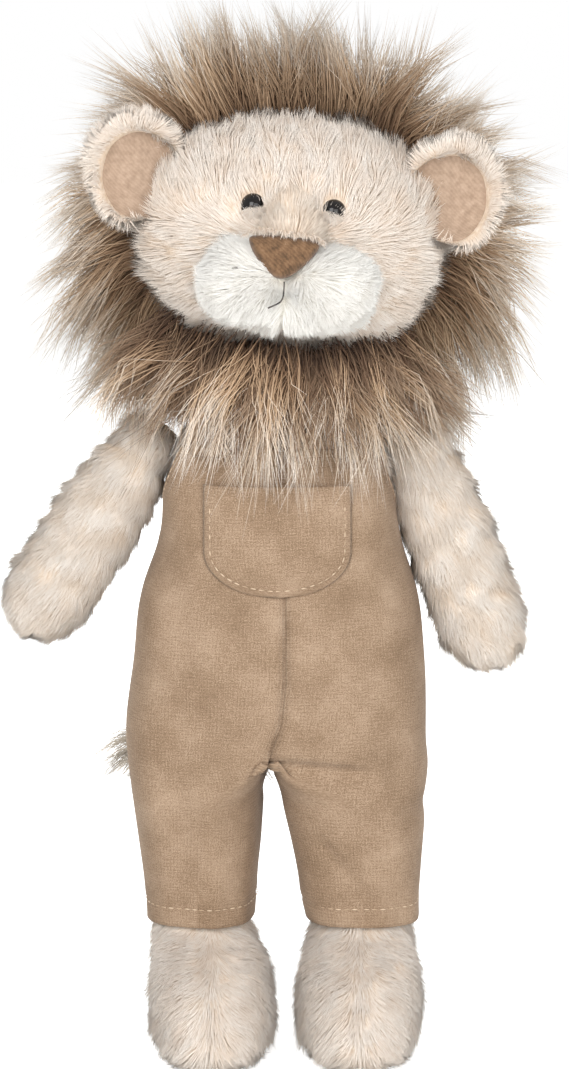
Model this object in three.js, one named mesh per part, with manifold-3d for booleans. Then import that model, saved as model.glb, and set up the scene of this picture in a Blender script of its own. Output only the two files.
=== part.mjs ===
// Plush lion in linen overalls, standing, about 400 mm tall to the tips of its mane.
// Millimetres, +Z up. The lion looks along -Y, so its right side is -X and its left side +X.
// Every soft piece is a closed skin round its own stuffing, and each limb turns on a round
// end that sits in a hollow of the same centre, as a sewn limb rolls on its seam.
import * as THREE from 'three';
import { mergeVertices } from 'three/addons/utils/BufferGeometryUtils.js';
import Module from 'manifold-3d';

const wasm = await Module();
wasm.setup();

// Cloth, skins and the room between pieces
const clothWall = 1.2;
const clothGap = 0.5;
const skinWall = 1.8;
const stuffingGap = 0.5;
const seatGap = 0.4;
const jointGap = 1;
const overrun = 300;

// Trunk, measured over the overalls
const trunkWidth = 115;
const trunkDepth = 76;
const trunkForward = 2;
const crotchHeight = 112;
const trunkTall = 142;
const trunkSquareness = 2.8;
const pelletBagRise = 3;
const pelletBagHeight = 15;
const pelletBagInset = 6;

// Overalls
const bibTopDrop = 16;
const backTopDrop = 28;
const armholeWidth = 52;
const armholeHeight = 66;
const armholeSpread = 120;
const strapWidth = 13;
const strapSpread = 54;
const pocketWidth = 56;
const pocketDrop = 13;
const pocketHeight = 42;
const pocketCornerHeight = 17;
const pocketAside = 1.2;

// Legs and feet
const hipHeight = 122;
const hipForward = 3;
const hipRadius = 31;
const legRoom = 6.6;
const legWidth = 54.4;
const legSquareness = 3.2;
const sweepSquareness = 5;
const legForwardDegrees = 85;
const legBackDegrees = 12;
const lapFoldForward = 16;
const hemHeight = 51;
const hemRoom = 19.8;
const hemWidth = 44.6;
const hemDepth = 54.4;
const shinWidth = 39;
const shinDepth = 46;
const footWidth = 50;
const footLength = 79;
const footForward = 25;
const footRoom = 6.6;
const footShift = 2;
const footPelletHeight = 14;
const stuffingHole = 16;

// Arms, measured from the middle of the shoulder
const shoulderProud = 10.2;
const shoulderDrop = 19;
const shoulderRadius = 14.6;
const armLength = 89;
const armWidth = 36.4;
const armDepth = 32;
const armSquareness = 2.3;
const rightArmSplayDegrees = 33.4;
const leftArmSplayDegrees = 20.9;
const wadRadius = 9;
const wadHole = 12;

// Neck
const neckRise = 12;
const neckBallRadius = 20;
const neckPlugRadius = 15;
const neckPlugLength = 30;

// Head, measured from the middle of the neck ball
const headTiltDegrees = 4.3;
const headWidth = 119;
const headDepth = 100;
const headHeight = 86;
const headMiddle = 54;
const headForward = 5;
const headSquareness = 2.15;
const faceSeamForward = 12;

// Face
const muzzleSpread = 29;
const lobeWidth = 38;
const lobeDepth = 44;
const lobeHeight = 34;
const muzzleMiddle = 35.5;
const muzzleForward = 49;
const chinWidth = 38;
const chinDepth = 34;
const chinHeight = 20;
const chinMiddle = 25;
const bridgeWidth = 24;
const bridgeDepth = 44;
const bridgeHeight = 30;
const bridgeMiddle = 57;
const bridgeForward = 46;
const noseWidth = 25;
const noseHeight = 15;
const noseDepth = 12;
const noseBevel = 2.4;
const noseTop = 54;
const noseForward = 61;
const noseAside = 2.5;
const mouthThread = 1.1;
const mouthDrop = 8;
const mouthReach = 7;
const eyeDiameter = 10;
const eyeHeight = 5;
const eyeSpread = 29.2;
const eyeLevel = 65.2;
const eyeStem = 3.2;
const eyeStemLength = 11;
const washerDiameter = 12;
const washerThickness = 1.6;
const washerRoom = 3.6;

// Ears
const earWidth = 40;
const earHeight = 46;
const earDepth = 26;
const earWall = 3;
const earLiningWall = 1.6;
const earSpread = 120;
const earLevel = 72.6;
const earForward = 27;
const earTurnDegrees = 15;

// Mane and beard
const maneWidth = 196;
const maneAbove = 75;
const maneBelow = 62;
const maneMiddle = 52;
const maneBack = 66;
const maneDrop = 7;
const maneLocks = 16;
const neckHollowRadius = 30;
const beardWidth = 104;
const beardAbove = 26;
const beardBelow = 34;
const beardDrop = 8;
const beardForward = 36;
const beardThickness = 17;
const beardLocks = 9;
const lockDepthShare = 0.1;

// Tail
const tailRootHeight = 136;
const tailDiameter = 10;
const tailDrop = 30;
const tailReach = 30;
const tailBack = 18;
const tuftWidth = 50;
const tuftDepth = 24;
const tuftHeight = 42;
const tuftLocks = 7;

// Numbers of facets
const trunkFacets = 20;
const sweepSteps = 7;
const hipRows = 6;
const legFacets = 14;
const barrelFacets = 14;
const armFacets = 12;
const ballFacets = 16;
const headFacets = 20;
const headRows = 8;
const smallFacets = 12;
const smallRows = 6;
const roundTopRows = 3;
const cornerSteps = 5;
const bevelSteps = 2;
const tailSides = 4;
const tailSteps = 7;
const threadSides = 3;
const threadSteps = 8;

// Shares of the trunk's height, width and depth at each level, from the crotch to the neck
const trunkShares = [
  [0, 0.9, 0.8],
  [0.07, 0.975, 0.92],
  [0.2, 1, 0.99],
  [0.338, 0.983, 1],
  [0.479, 0.93, 0.987],
  [0.62, 0.826, 0.947],
  [0.725, 0.757, 0.895],
  [0.85, 0.73, 0.78],
  [0.93, 0.64, 0.63],
  [1, 0.3, 0.32],
];

// Shares of the way up from the hem to the hip, and of the change of size on that way
const trouserShares = [
  [0, 0],
  [0.155, 0.22],
  [0.465, 0.6],
  [0.69, 0.88],
  [1, 1],
];

// Shares of the hem's height, the foot's width and length, and of the way back to the shin
const footShares = [
  [0, 0.76, 0.78, 0],
  [0.06, 0.9, 0.92, 0],
  [0.22, 1, 1, 0],
  [0.47, 1, 0.96, 0.08],
  [0.7, 0.93, 0.82, 0.3],
  [0.88, 0.83, 0.66, 0.72],
];

// Shares of the arm's length and greatest width, from the shoulder to the finger end
const armShares = [
  [0, 0.74],
  [0.135, 0.75],
  [0.315, 0.84],
  [0.5, 0.9],
  [0.68, 0.98],
  [0.79, 1],
  [0.9, 0.86],
  [0.965, 0.56],
];

// Shares of the mane's rim and of its depth, from the face seam to the back of the head
const maneShares = [
  [0.7, 0],
  [0.93, 0.06],
  [0.97, 0.2],
  [0.84, 0.47],
  [0.65, 0.7],
  [0.46, 0.9],
];

// Shares of the beard's outline and thickness, from its back to its front
const beardShares = [
  [0.8, 0],
  [0.98, 0.22],
  [1, 0.5],
  [0.9, 0.8],
  [0.62, 1],
];

// Shares of the tuft's outline and height, from its lowest hairs to its top
const tuftShares = [
  [0.6, 0],
  [0.86, 0.14],
  [1, 0.36],
  [0.9, 0.62],
  [0.62, 0.86],
  [0.3, 1],
];

// Shares of a lock's length, at its tip and at the hollow beside it
const lockShares = [0, 1];

// Shares of the tail's reach, its way back and its drop
const tailShares = [
  [0, 0, 0],
  [0.06, 0.4, 0.06],
  [0.45, 0.85, 0.45],
  [1, 1, 1],
];

// Shares of the nose's width and height at its corners
const noseShares = [
  [-0.5, 0],
  [0.5, 0],
  [0.12, -0.9],
  [0, -1],
  [-0.12, -0.9],
];

const radians = THREE.MathUtils.degToRad;
const mix = THREE.MathUtils.lerp;
const at = (x, y, z) => new THREE.Vector3(x, y, z);
const legSpread = legWidth + legRoom;
const hemSpread = hemWidth + hemRoom;
const footSpread = footWidth + footRoom;
const trunkTopHeight = crotchHeight + trunkTall;
const bibTopHeight = trunkTopHeight - bibTopDrop;
const backTopHeight = trunkTopHeight - backTopDrop;
const pocketTopHeight = bibTopHeight - pocketDrop;
const shoulderHeight = trunkTopHeight - shoulderDrop;
const neckHeight = trunkTopHeight + neckRise;
const underCloth = clothWall + clothGap;
const sides = [
  { word: 'right', sign: -1, splay: rightArmSplayDegrees },
  { word: 'left', sign: 1, splay: leftArmSplayDegrees },
];

// The trunk's half width and half depth at a height between two of its rows
function trunkReach(height) {
  const level = (height - crotchHeight) / trunkTall;
  const above = Math.max(trunkShares.findIndex(([share]) => share >= level), 1);
  const [low, high] = [trunkShares[above - 1], trunkShares[above]];
  const way = (level - low[0]) / (high[0] - low[0]);
  return {
    halfWidth: (trunkWidth / 2) * mix(low[1], high[1], way),
    halfDepth: (trunkDepth / 2) * mix(low[2], high[2], way),
  };
}

const shoulderReach = trunkReach(shoulderHeight).halfWidth + shoulderProud;
const tailSeat = trunkReach(tailRootHeight + tailDiameter / 2).halfDepth - trunkForward;

// Materials, with the colours of the real cloths
const finish = (color, roughness) => new THREE.MeshStandardMaterial({ color, roughness, metalness: 0 });
const beigePlush = finish('#dcc7ae', 0.95);
const whitePlush = finish('#f4f3ee', 0.95);
const longPile = finish('#9c8672', 0.9);
const tanVelour = finish('#c9a983', 0.85);
const linen = finish('#b08f6e', 0.9);
const noseVelour = finish('#8d6a48', 0.8);
const greyThread = finish('#4c4642', 0.7);
const blackPlastic = finish('#14110f', 0.12);
const whitePlastic = finish('#e8e6e0', 0.5);
const fibre = finish('#f2f0ec', 1);
const pellets = finish('#cfcac0', 0.9);

// A closed mesh with its shared corners merged becomes a solid that can be cut and joined.
function solidOf(geometry) {
  const bare = geometry.clone();
  bare.deleteAttribute('normal');
  bare.deleteAttribute('uv');
  const merged = mergeVertices(bare);
  const corners = merged.index.array;
  const kept = [];
  for (let k = 0; k < corners.length; k += 3) {
    const [a, b, c] = [corners[k], corners[k + 1], corners[k + 2]];
    if (a !== b && b !== c && c !== a) kept.push(a, b, c);
  }
  const vertProperties = new Float32Array(merged.getAttribute('position').array);
  const triVerts = new Uint32Array(kept);
  return new wasm.Manifold(new wasm.Mesh({ numProp: 3, vertProperties, triVerts }));
}

function geometryOf(solid) {
  const mesh = solid.getMesh();
  const geometry = new THREE.BufferGeometry();
  geometry.setAttribute('position', new THREE.BufferAttribute(mesh.vertProperties, 3));
  geometry.setIndex(new THREE.BufferAttribute(mesh.triVerts, 1));
  geometry.computeVertexNormals();
  return geometry;
}

function addPiece(group, name, solid, material) {
  const mesh = new THREE.Mesh(geometryOf(solid), material);
  mesh.name = name;
  group.add(mesh);
}

function middleOf(points) {
  const sum = points.reduce((total, point) => total.add(point), new THREE.Vector3());
  return sum.divideScalar(points.length);
}

// A closed form through rings of points: each ring runs anticlockwise, and the next is above it.
function loft(rings, lowTip = middleOf(rings[0]), highTip = middleOf(rings.at(-1))) {
  const count = rings[0].length;
  const faces = [];
  for (let row = 0; row < rings.length - 1; row++) {
    for (let k = 0; k < count; k++) {
      const [a, b] = [row * count + k, row * count + ((k + 1) % count)];
      faces.push(a, b, b + count, a, b + count, a + count);
    }
  }
  const low = rings.length * count;
  const top = low - count;
  for (let k = 0; k < count; k++) {
    const next = (k + 1) % count;
    faces.push(low, next, k, low + 1, top + k, top + next);
  }
  return new THREE.BufferGeometry().setFromPoints([...rings.flat(), lowTip, highTip]).setIndex(faces);
}

// A point of a rounded outline of half size 1: a squareness of 2 gives a circle.
function roundPoint(angle, squareness) {
  const bend = (value) => Math.sign(value) * Math.abs(value) ** (2 / squareness);
  return [bend(Math.cos(angle)), bend(Math.sin(angle))];
}

function ring({ x, y, z, halfWidth, halfDepth }, squareness, facets) {
  return Array.from({ length: facets }, (_, k) => {
    const [across, along] = roundPoint((2 * Math.PI * k) / facets, squareness);
    return new THREE.Vector3(x + halfWidth * across, y + halfDepth * along, z);
  });
}

// Rows between the two poles of a rounded form, as [share of the rim, share of the half height]
function rowsBetweenPoles(rows, squareness) {
  return Array.from({ length: rows - 1 }, (_, k) => (
    roundPoint(Math.PI * ((k + 1) / rows - 1 / 2), squareness)
  ));
}

// A pillow about the origin, kept as its sizes so that a point on its front can be found
function pillow(middle, width, depth, height, squareness) {
  return { middle, half: new THREE.Vector3(width / 2, depth / 2, height / 2), squareness };
}

function pillowSolid(form, inset = 0, rows = smallRows, facets = smallFacets) {
  const half = form.half.clone().subScalar(inset);
  const rings = rowsBetweenPoles(rows, form.squareness).map(([reach, level]) => ring(
    { x: 0, y: 0, z: half.z * level, halfWidth: half.x * reach, halfDepth: half.y * reach },
    form.squareness,
    facets,
  ));
  const tip = new THREE.Vector3(0, 0, half.z);
  return solidOf(loft(rings, tip.clone().negate(), tip)).translate(...form.middle);
}

// How far forward a pillow's front lies at a place, or its middle where the place is outside it
function pillowFront(form, x, z) {
  const across = Math.abs((x - form.middle.x) / form.half.x) ** form.squareness;
  const along = Math.abs((z - form.middle.z) / form.half.z) ** form.squareness;
  return form.middle.y - form.half.y * Math.max(1 - across - along, 0) ** (1 / form.squareness);
}

function ball(radius, x, y, z) {
  const sphere = new THREE.SphereGeometry(radius, ballFacets, ballFacets / 2);
  return solidOf(sphere.rotateX(Math.PI / 2).translate(x, y, z));
}

function uprightRod(radius, low, high) {
  const cylinder = new THREE.CylinderGeometry(radius, radius, high - low, ballFacets);
  return solidOf(cylinder.rotateX(Math.PI / 2).translate(0, 0, (low + high) / 2));
}

function forwardRod(radius, front, back, facets) {
  const cylinder = new THREE.CylinderGeometry(radius, radius, back - front, facets);
  return solidOf(cylinder.translate(0, (front + back) / 2, 0));
}

// All that lies between two corners, for keeping or cutting away one side of a form
function block(low, high) {
  const size = high.clone().sub(low);
  return solidOf(new THREE.BoxGeometry(...size).translate(...low.clone().addScaledVector(size, 1 / 2)));
}

function beyond(axis, level) {
  const low = new THREE.Vector3(-overrun, -overrun, -overrun);
  low[axis] = level;
  return block(low, new THREE.Vector3(overrun, overrun, overrun));
}

function below(axis, level) {
  const high = new THREE.Vector3(overrun, overrun, overrun);
  high[axis] = level;
  return block(new THREE.Vector3(-overrun, -overrun, -overrun), high);
}

// Hips: a leg's round top, and the room that the whole leg sweeps as it swings

function hipBarrel(sign, inset) {
  const halfWidth = legWidth / 2 - inset;
  const place = (across, y, z) => at((sign * legSpread) / 2 + across, y - hipForward, z + hipHeight);
  const rings = rowsBetweenPoles(hipRows, legSquareness).map(([reach, level]) => (
    Array.from({ length: barrelFacets }, (_, k) => {
      const angle = (2 * Math.PI * k) / barrelFacets;
      const radius = (hipRadius - inset) * reach;
      return place(level * halfWidth, radius * Math.cos(angle), radius * Math.sin(angle));
    })
  ));
  return solidOf(loft(rings, place(-halfWidth, 0, 0), place(halfWidth, 0, 0)));
}

// The sweep is the barrel and all below the two lines that the leg's front and back reach.
function hipSweep(sign, room) {
  const [forward, back] = [radians(legForwardDegrees), radians(legBackDegrees)];
  const outline = [[-2, -2]];
  outline.push([Math.cos(back) + 2 * Math.sin(back), Math.sin(back) - 2 * Math.cos(back)]);
  for (let step = 0; step <= sweepSteps; step++) {
    const angle = mix(back, Math.PI - forward, step / sweepSteps);
    outline.push([Math.cos(angle), Math.sin(angle)]);
  }
  outline.push([-Math.cos(forward) - 2 * Math.sin(forward), Math.sin(forward) - 2 * Math.cos(forward)]);
  const rows = rowsBetweenPoles(hipRows, sweepSquareness);
  const outermost = rows.at(-1)[1];
  const rings = rows.map(([reach, level]) => (
    outline.map(([y, z]) => at(
      (sign * legSpread) / 2 + (level / outermost) * (legWidth / 2 + room),
      -hipForward + y * (hipRadius + room) * reach,
      hipHeight + z * (hipRadius + room) * reach,
    ))
  ));
  return solidOf(loft(rings));
}

function withoutSweeps(solid, room) {
  return sides.reduce((rest, { sign }) => rest.subtract(hipSweep(sign, room)), solid);
}

// Trunk and overalls

function trunkForm(inset) {
  const rings = trunkShares.map(([level, width, depth]) => ring({
    x: 0,
    y: -trunkForward,
    z: crotchHeight + inset + level * (trunkTall - 2 * inset),
    halfWidth: (trunkWidth / 2) * width - inset,
    halfDepth: (trunkDepth / 2) * depth - inset,
  }, trunkSquareness, trunkFacets));
  return solidOf(loft(rings));
}

function shoulderSockets(room) {
  return sides
    .map(({ sign }) => ball(shoulderRadius + room, sign * shoulderReach, 0, shoulderHeight))
    .reduce((both, socket) => both.add(socket));
}

function neckRoom(room) {
  const base = neckHeight - neckPlugLength - room;
  return uprightRod(neckPlugRadius + room, base, trunkTopHeight + overrun).add(ball(neckBallRadius + room, 0, 0, neckHeight));
}

function addTrunk(group) {
  const skinForm = trunkForm(underCloth).subtract(neckRoom(jointGap)).subtract(shoulderSockets(jointGap));
  const hollow = withoutSweeps(trunkForm(underCloth + skinWall), jointGap + skinWall)
    .subtract(below('z', hipHeight + hipRadius / 2))
    .subtract(shoulderSockets(jointGap + skinWall));
  addPiece(group, 'body_skin', withoutSweeps(skinForm, jointGap).subtract(hollow), beigePlush);

  const stuffingInset = underCloth + skinWall + stuffingGap;
  const stuffingBase = hipHeight + hipRadius + jointGap + skinWall + stuffingGap;
  const bagBase = stuffingBase + pelletBagRise;
  const bagTop = bagBase + pelletBagHeight;
  const bag = (inset, low, high) => trunkForm(stuffingInset + pelletBagInset + inset)
    .subtract(below('z', low))
    .subtract(beyond('z', high));
  const stuffing = trunkForm(stuffingInset)
    .subtract(below('z', stuffingBase))
    .subtract(shoulderSockets(jointGap + skinWall + stuffingGap))
    .subtract(neckRoom(jointGap))
    .subtract(bag(-stuffingGap, crotchHeight, bagTop + stuffingGap));
  addPiece(group, 'body_stuffing', stuffing, fibre);
  addPiece(group, 'pellet_bag', bag(0, bagBase, bagTop), pellets);
}

function armholes() {
  const half = new THREE.CylinderGeometry(armholeWidth / 2, armholeWidth / 2, overrun, legFacets);
  const hole = solidOf(half.scale(1, 1, armholeHeight / armholeWidth));
  return sides
    .map(({ sign }) => hole.translate((sign * armholeSpread) / 2, 0, bibTopHeight))
    .reduce((both, one) => both.add(one));
}

function addOveralls(group) {
  const cloth = withoutSweeps(trunkForm(0), jointGap).subtract(trunkForm(clothWall));
  const panels = cloth.subtract(armholes());
  const bib = panels.subtract(beyond('y', -trunkForward - seatGap / 2));
  const seat = panels.subtract(below('y', -trunkForward + seatGap / 2));
  addPiece(group, 'overalls_front', bib.subtract(beyond('z', bibTopHeight)), linen);
  addPiece(group, 'overalls_back', seat.subtract(beyond('z', backTopHeight)), linen);

  for (const { word, sign } of sides) {
    const edge = (sign * strapSpread) / 2;
    const low = new THREE.Vector3(edge - strapWidth / 2, -overrun, backTopHeight + seatGap);
    const high = new THREE.Vector3(edge + strapWidth / 2, overrun, overrun);
    const bibRoom = block(
      new THREE.Vector3(-overrun, -overrun, -overrun),
      new THREE.Vector3(overrun, -trunkForward, bibTopHeight + seatGap),
    );
    addPiece(group, `strap_${word}`, cloth.intersect(block(low, high)).subtract(bibRoom), linen);
  }
  addPiece(group, 'pocket', pocket(), linen);
}

function pocket() {
  const shape = new THREE.Shape();
  shape.moveTo(pocketWidth / 2, pocketTopHeight);
  shape.lineTo(-pocketWidth / 2, pocketTopHeight);
  const corner = pocketTopHeight - pocketHeight + pocketCornerHeight;
  shape.absellipse(0, corner, pocketWidth / 2, pocketCornerHeight, Math.PI, 2 * Math.PI, false);
  const depth = { depth: overrun, bevelEnabled: false, curveSegments: cornerSteps };
  const outline = solidOf(new THREE.ExtrudeGeometry(shape, depth).rotateX(Math.PI / 2));
  const layer = trunkForm(-underCloth).subtract(trunkForm(-clothGap));
  return layer.intersect(outline.translate(-pocketAside, -trunkForward, 0));
}

// The cloth that bunches in the lap, between the front of the trunk and the leg's round top
function lapFold(sign) {
  return trunkForm(0)
    .intersect(hipSweep(sign, jointGap - seatGap))
    .subtract(trouserForm(sign, -seatGap, hipHeight))
    .subtract(beyond('y', -hipForward - lapFoldForward))
    .subtract(below('z', hipHeight + seatGap));
}

// Legs and feet

function trouserForm(sign, inset, fromHeight) {
  const rings = trouserShares.map(([level, change]) => ring({
    x: (sign * mix(hemSpread, legSpread, change)) / 2,
    y: -hipForward,
    z: level === 0 ? fromHeight : mix(hemHeight, hipHeight, level),
    halfWidth: mix(hemWidth, legWidth, change) / 2 - inset,
    halfDepth: mix(hemDepth, 2 * hipRadius, change) / 2 - inset,
  }, legSquareness, legFacets));
  return fromHeight === hipHeight
    ? hipBarrel(sign, inset)
    : solidOf(loft(rings)).add(hipBarrel(sign, inset));
}

function legForm(sign, inset) {
  const footRings = footShares.map(([level, width, length, way]) => ring({
    x: mix((sign * footSpread) / 2 + footShift, (sign * hemSpread) / 2, way),
    y: mix(-footForward, -hipForward, way),
    z: inset + level * (hemHeight - inset),
    halfWidth: (footWidth * width) / 2 - inset,
    halfDepth: (footLength * length) / 2 - inset,
  }, armSquareness, legFacets));
  const shinRing = ring({
    x: (sign * hemSpread) / 2,
    y: -hipForward,
    z: hemHeight,
    halfWidth: shinWidth / 2 - inset,
    halfDepth: shinDepth / 2 - inset,
  }, legSquareness, legFacets);
  const legRings = trouserShares.slice(1).map(([level, change]) => ring({
    x: (sign * mix(hemSpread, legSpread, change)) / 2,
    y: -hipForward,
    z: mix(hemHeight, hipHeight, level),
    halfWidth: mix(hemWidth, legWidth, change) / 2 - underCloth - inset,
    halfDepth: mix(hemDepth, 2 * hipRadius, change) / 2 - underCloth - inset,
  }, legSquareness, legFacets));
  const column = solidOf(loft([...footRings, shinRing, ...legRings]));
  return column.add(hipBarrel(sign, underCloth + inset));
}

function addLeg(group, { word, sign }) {
  const hole = uprightRod(stuffingHole / 2, hipHeight, hipHeight + overrun)
    .translate((sign * legSpread) / 2, -hipForward, 0);
  const skin = legForm(sign, 0).subtract(legForm(sign, skinWall)).subtract(hole);
  const inside = legForm(sign, skinWall + stuffingGap);
  const pelletTop = skinWall + stuffingGap + footPelletHeight;
  const trouser = trouserForm(sign, 0, hemHeight).subtract(trouserForm(sign, clothWall, 0));
  addPiece(group, `leg_${word}_skin`, skin, beigePlush);
  addPiece(group, `leg_${word}_stuffing`, inside.subtract(below('z', pelletTop + stuffingGap)), fibre);
  addPiece(group, `foot_${word}_pellets`, inside.subtract(beyond('z', pelletTop)), pellets);
  addPiece(group, `trouser_${word}`, trouser, linen);
}

// Arms, each hanging from the middle of its shoulder in a group of its own

function armRings(inset) {
  return armShares.map(([level, width]) => ring({
    x: 0,
    y: 0,
    z: -level * (armLength - inset),
    halfWidth: (armWidth * width) / 2 - inset,
    halfDepth: (armDepth * width) / 2 - inset,
  }, armSquareness, armFacets)).reverse();
}

function armOutside() {
  const tip = at(0, 0, -armLength);
  return solidOf(loft(armRings(0), tip)).add(ball(shoulderRadius, 0, 0, 0));
}

// The inside of the skin, and the stuffing in it, are one form that ends in a plain round top.
function armInside(inset) {
  const [first] = armShares;
  const reach = (armWidth * first[1]) / 2 - inset;
  const rings = armRings(inset);
  for (let row = 1; row < roundTopRows; row++) {
    const angle = (Math.PI / 2) * (row / roundTopRows);
    const [across, up] = [Math.cos(angle), Math.sin(angle)];
    const size = { halfWidth: reach * across, halfDepth: (reach * across * armDepth) / armWidth };
    rings.push(ring({ x: 0, y: 0, z: reach * up, ...size }, armSquareness, armFacets));
  }
  return solidOf(loft(rings, at(0, 0, inset - armLength), at(0, 0, reach)));
}

function addArm(lion, { word, sign, splay }) {
  const arm = new THREE.Group();
  arm.position.set(sign * shoulderReach, 0, shoulderHeight);
  arm.rotation.y = radians(-sign * splay);
  const hole = uprightRod(wadHole / 2, 0, overrun).rotate([0, -sign * (90 - splay), 0]);
  const skin = armOutside().subtract(armInside(skinWall)).subtract(hole);
  const stuffing = armInside(skinWall + stuffingGap)
    .subtract(ball(wadRadius + jointGap, 0, 0, 0))
    .subtract(hole);
  addPiece(arm, `arm_${word}_skin`, skin, beigePlush);
  addPiece(arm, `arm_${word}_stuffing`, stuffing, fibre);
  addPiece(arm, `shoulder_wad_${word}`, ball(wadRadius, 0, 0, 0), fibre);
  lion.add(arm);
}

// Head

const headPlace = at(0, -headForward, headMiddle);
const headShape = pillow(headPlace, headWidth, headDepth, headHeight, headSquareness);
const headForm = (inset) => pillowSolid(headShape, inset, headRows, headFacets);
const lobeShapes = sides.map(({ sign }) => {
  const middle = at((sign * muzzleSpread) / 2, -muzzleForward, muzzleMiddle);
  return pillow(middle, lobeWidth, lobeDepth, lobeHeight, headSquareness);
});
const chinPlace = at(0, -muzzleForward, chinMiddle);
const chinShape = pillow(chinPlace, chinWidth, chinDepth, chinHeight, headSquareness);
const bridgePlace = at(0, -bridgeForward, bridgeMiddle);
const bridgeShape = pillow(bridgePlace, bridgeWidth, bridgeDepth, bridgeHeight, headSquareness);

function muzzleForm(inset) {
  return [...lobeShapes, chinShape]
    .map((shape) => pillowSolid(shape, inset))
    .reduce((all, one) => all.add(one));
}

function eyePlace(sign) {
  const x = (sign * eyeSpread) / 2;
  return at(x, pillowFront(headShape, x, eyeLevel), eyeLevel);
}

// Each eye has a stem that goes through the face and holds a locking washer behind it.
function addEye(head, { word, sign }) {
  const place = eyePlace(sign);
  const dome = pillow(place, eyeDiameter, 2 * eyeHeight, eyeDiameter, 2);
  const stem = forwardRod(eyeStem / 2, -eyeHeight / 2, eyeStemLength, smallFacets).translate(...place);
  const eye = pillowSolid(dome).subtract(headForm(-seatGap)).add(stem);
  const washerFront = skinWall + washerRoom;
  const washer = forwardRod(washerDiameter / 2, washerFront, washerFront + washerThickness, smallFacets)
    .subtract(forwardRod(eyeStem / 2 + seatGap, 0, overrun, smallFacets));
  addPiece(head, `eye_${word}`, eye, blackPlastic);
  addPiece(head, `eye_washer_${word}`, washer.translate(...place), whitePlastic);
}

function eyeHoles(radius) {
  return sides
    .map(({ sign }) => forwardRod(radius, -overrun, eyeStemLength + seatGap, smallFacets)
      .translate(...eyePlace(sign)))
    .reduce((both, one) => both.add(one));
}

function noseForm() {
  const corners = noseShares.map(([across, up]) => new THREE.Vector2(noseWidth * across, noseHeight * up));
  const pad = new THREE.ExtrudeGeometry(new THREE.Shape(corners), {
    depth: noseDepth - noseBevel,
    bevelThickness: noseBevel,
    bevelSize: noseBevel,
    bevelOffset: -noseBevel,
    bevelSegments: bevelSteps,
  });
  return solidOf(pad.rotateX(Math.PI / 2)).translate(-noseAside, -noseForward, noseTop);
}

function mouthLine() {
  const forms = [...lobeShapes, chinShape];
  const top = noseTop - noseHeight - seatGap - mouthThread;
  const route = [
    [-noseAside, top],
    [-noseAside, top - mouthDrop],
    [-noseAside - mouthReach / 3, top - mouthDrop - mouthReach / 3],
    [-noseAside - mouthReach, top - mouthDrop - mouthReach / 2],
  ].map(([x, z]) => at(x, Math.min(...forms.map((form) => pillowFront(form, x, z))), z));
  const away = at(0, -seatGap - mouthThread / 2, 0);
  const path = new THREE.CatmullRomCurve3(route.map((point) => point.add(away)));
  const section = new THREE.Shape().absarc(0, 0, mouthThread / 2, 0, 2 * Math.PI);
  const options = { steps: threadSteps, extrudePath: path, curveSegments: threadSides };
  return solidOf(new THREE.ExtrudeGeometry(section, options)).subtract(muzzleForm(-seatGap / 2));
}

// An outline with pointed locks, wider above than below where a mane or beard needs it
function lockedRing(halfWidth, above, under, level, share, locks) {
  const count = locks * lockShares.length;
  return Array.from({ length: count }, (_, k) => {
    const angle = (2 * Math.PI * k) / count;
    const size = share * (1 - lockDepthShare * lockShares[k % lockShares.length]);
    const up = Math.sin(angle) > 0 ? under : above;
    return at(halfWidth * size * Math.cos(angle), up * size * Math.sin(angle), level);
  });
}

function maneForm() {
  const depth = maneBack + faceSeamForward;
  const rings = maneShares.map(([share, level]) => (
    lockedRing(maneWidth / 2, maneAbove, maneBelow, level * depth, share, maneLocks)
  ));
  const hood = solidOf(loft(rings, undefined, at(0, 0, depth)).rotateX(-Math.PI / 2))
    .translate(0, -faceSeamForward, maneMiddle);
  return hood
    .subtract(headForm(-seatGap))
    .subtract(below('z', -maneDrop))
    .subtract(uprightRod(neckHollowRadius, -overrun, headMiddle - headHeight / 4));
}

function beardForm() {
  const rings = beardShares.map(([share, level]) => (
    lockedRing(beardWidth / 2, beardAbove, beardBelow, level * beardThickness, share, beardLocks)
  ));
  return solidOf(loft(rings).rotateX(-Math.PI / 2))
    .translate(0, -beardForward - beardThickness, -beardDrop)
    .subtract(headForm(-seatGap))
    .subtract(muzzleForm(-seatGap));
}

function earShell(sign, outer, wall) {
  const shape = pillow(at(0, 0, 0), earWidth, earDepth, earHeight, 2);
  return pillowSolid(shape, outer)
    .subtract(pillowSolid(shape, outer + wall))
    .subtract(below('y', 0))
    .rotate([0, 0, sign * earTurnDegrees])
    .translate((sign * earSpread) / 2, -earForward, earLevel)
    .subtract(headForm(-seatGap));
}

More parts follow.
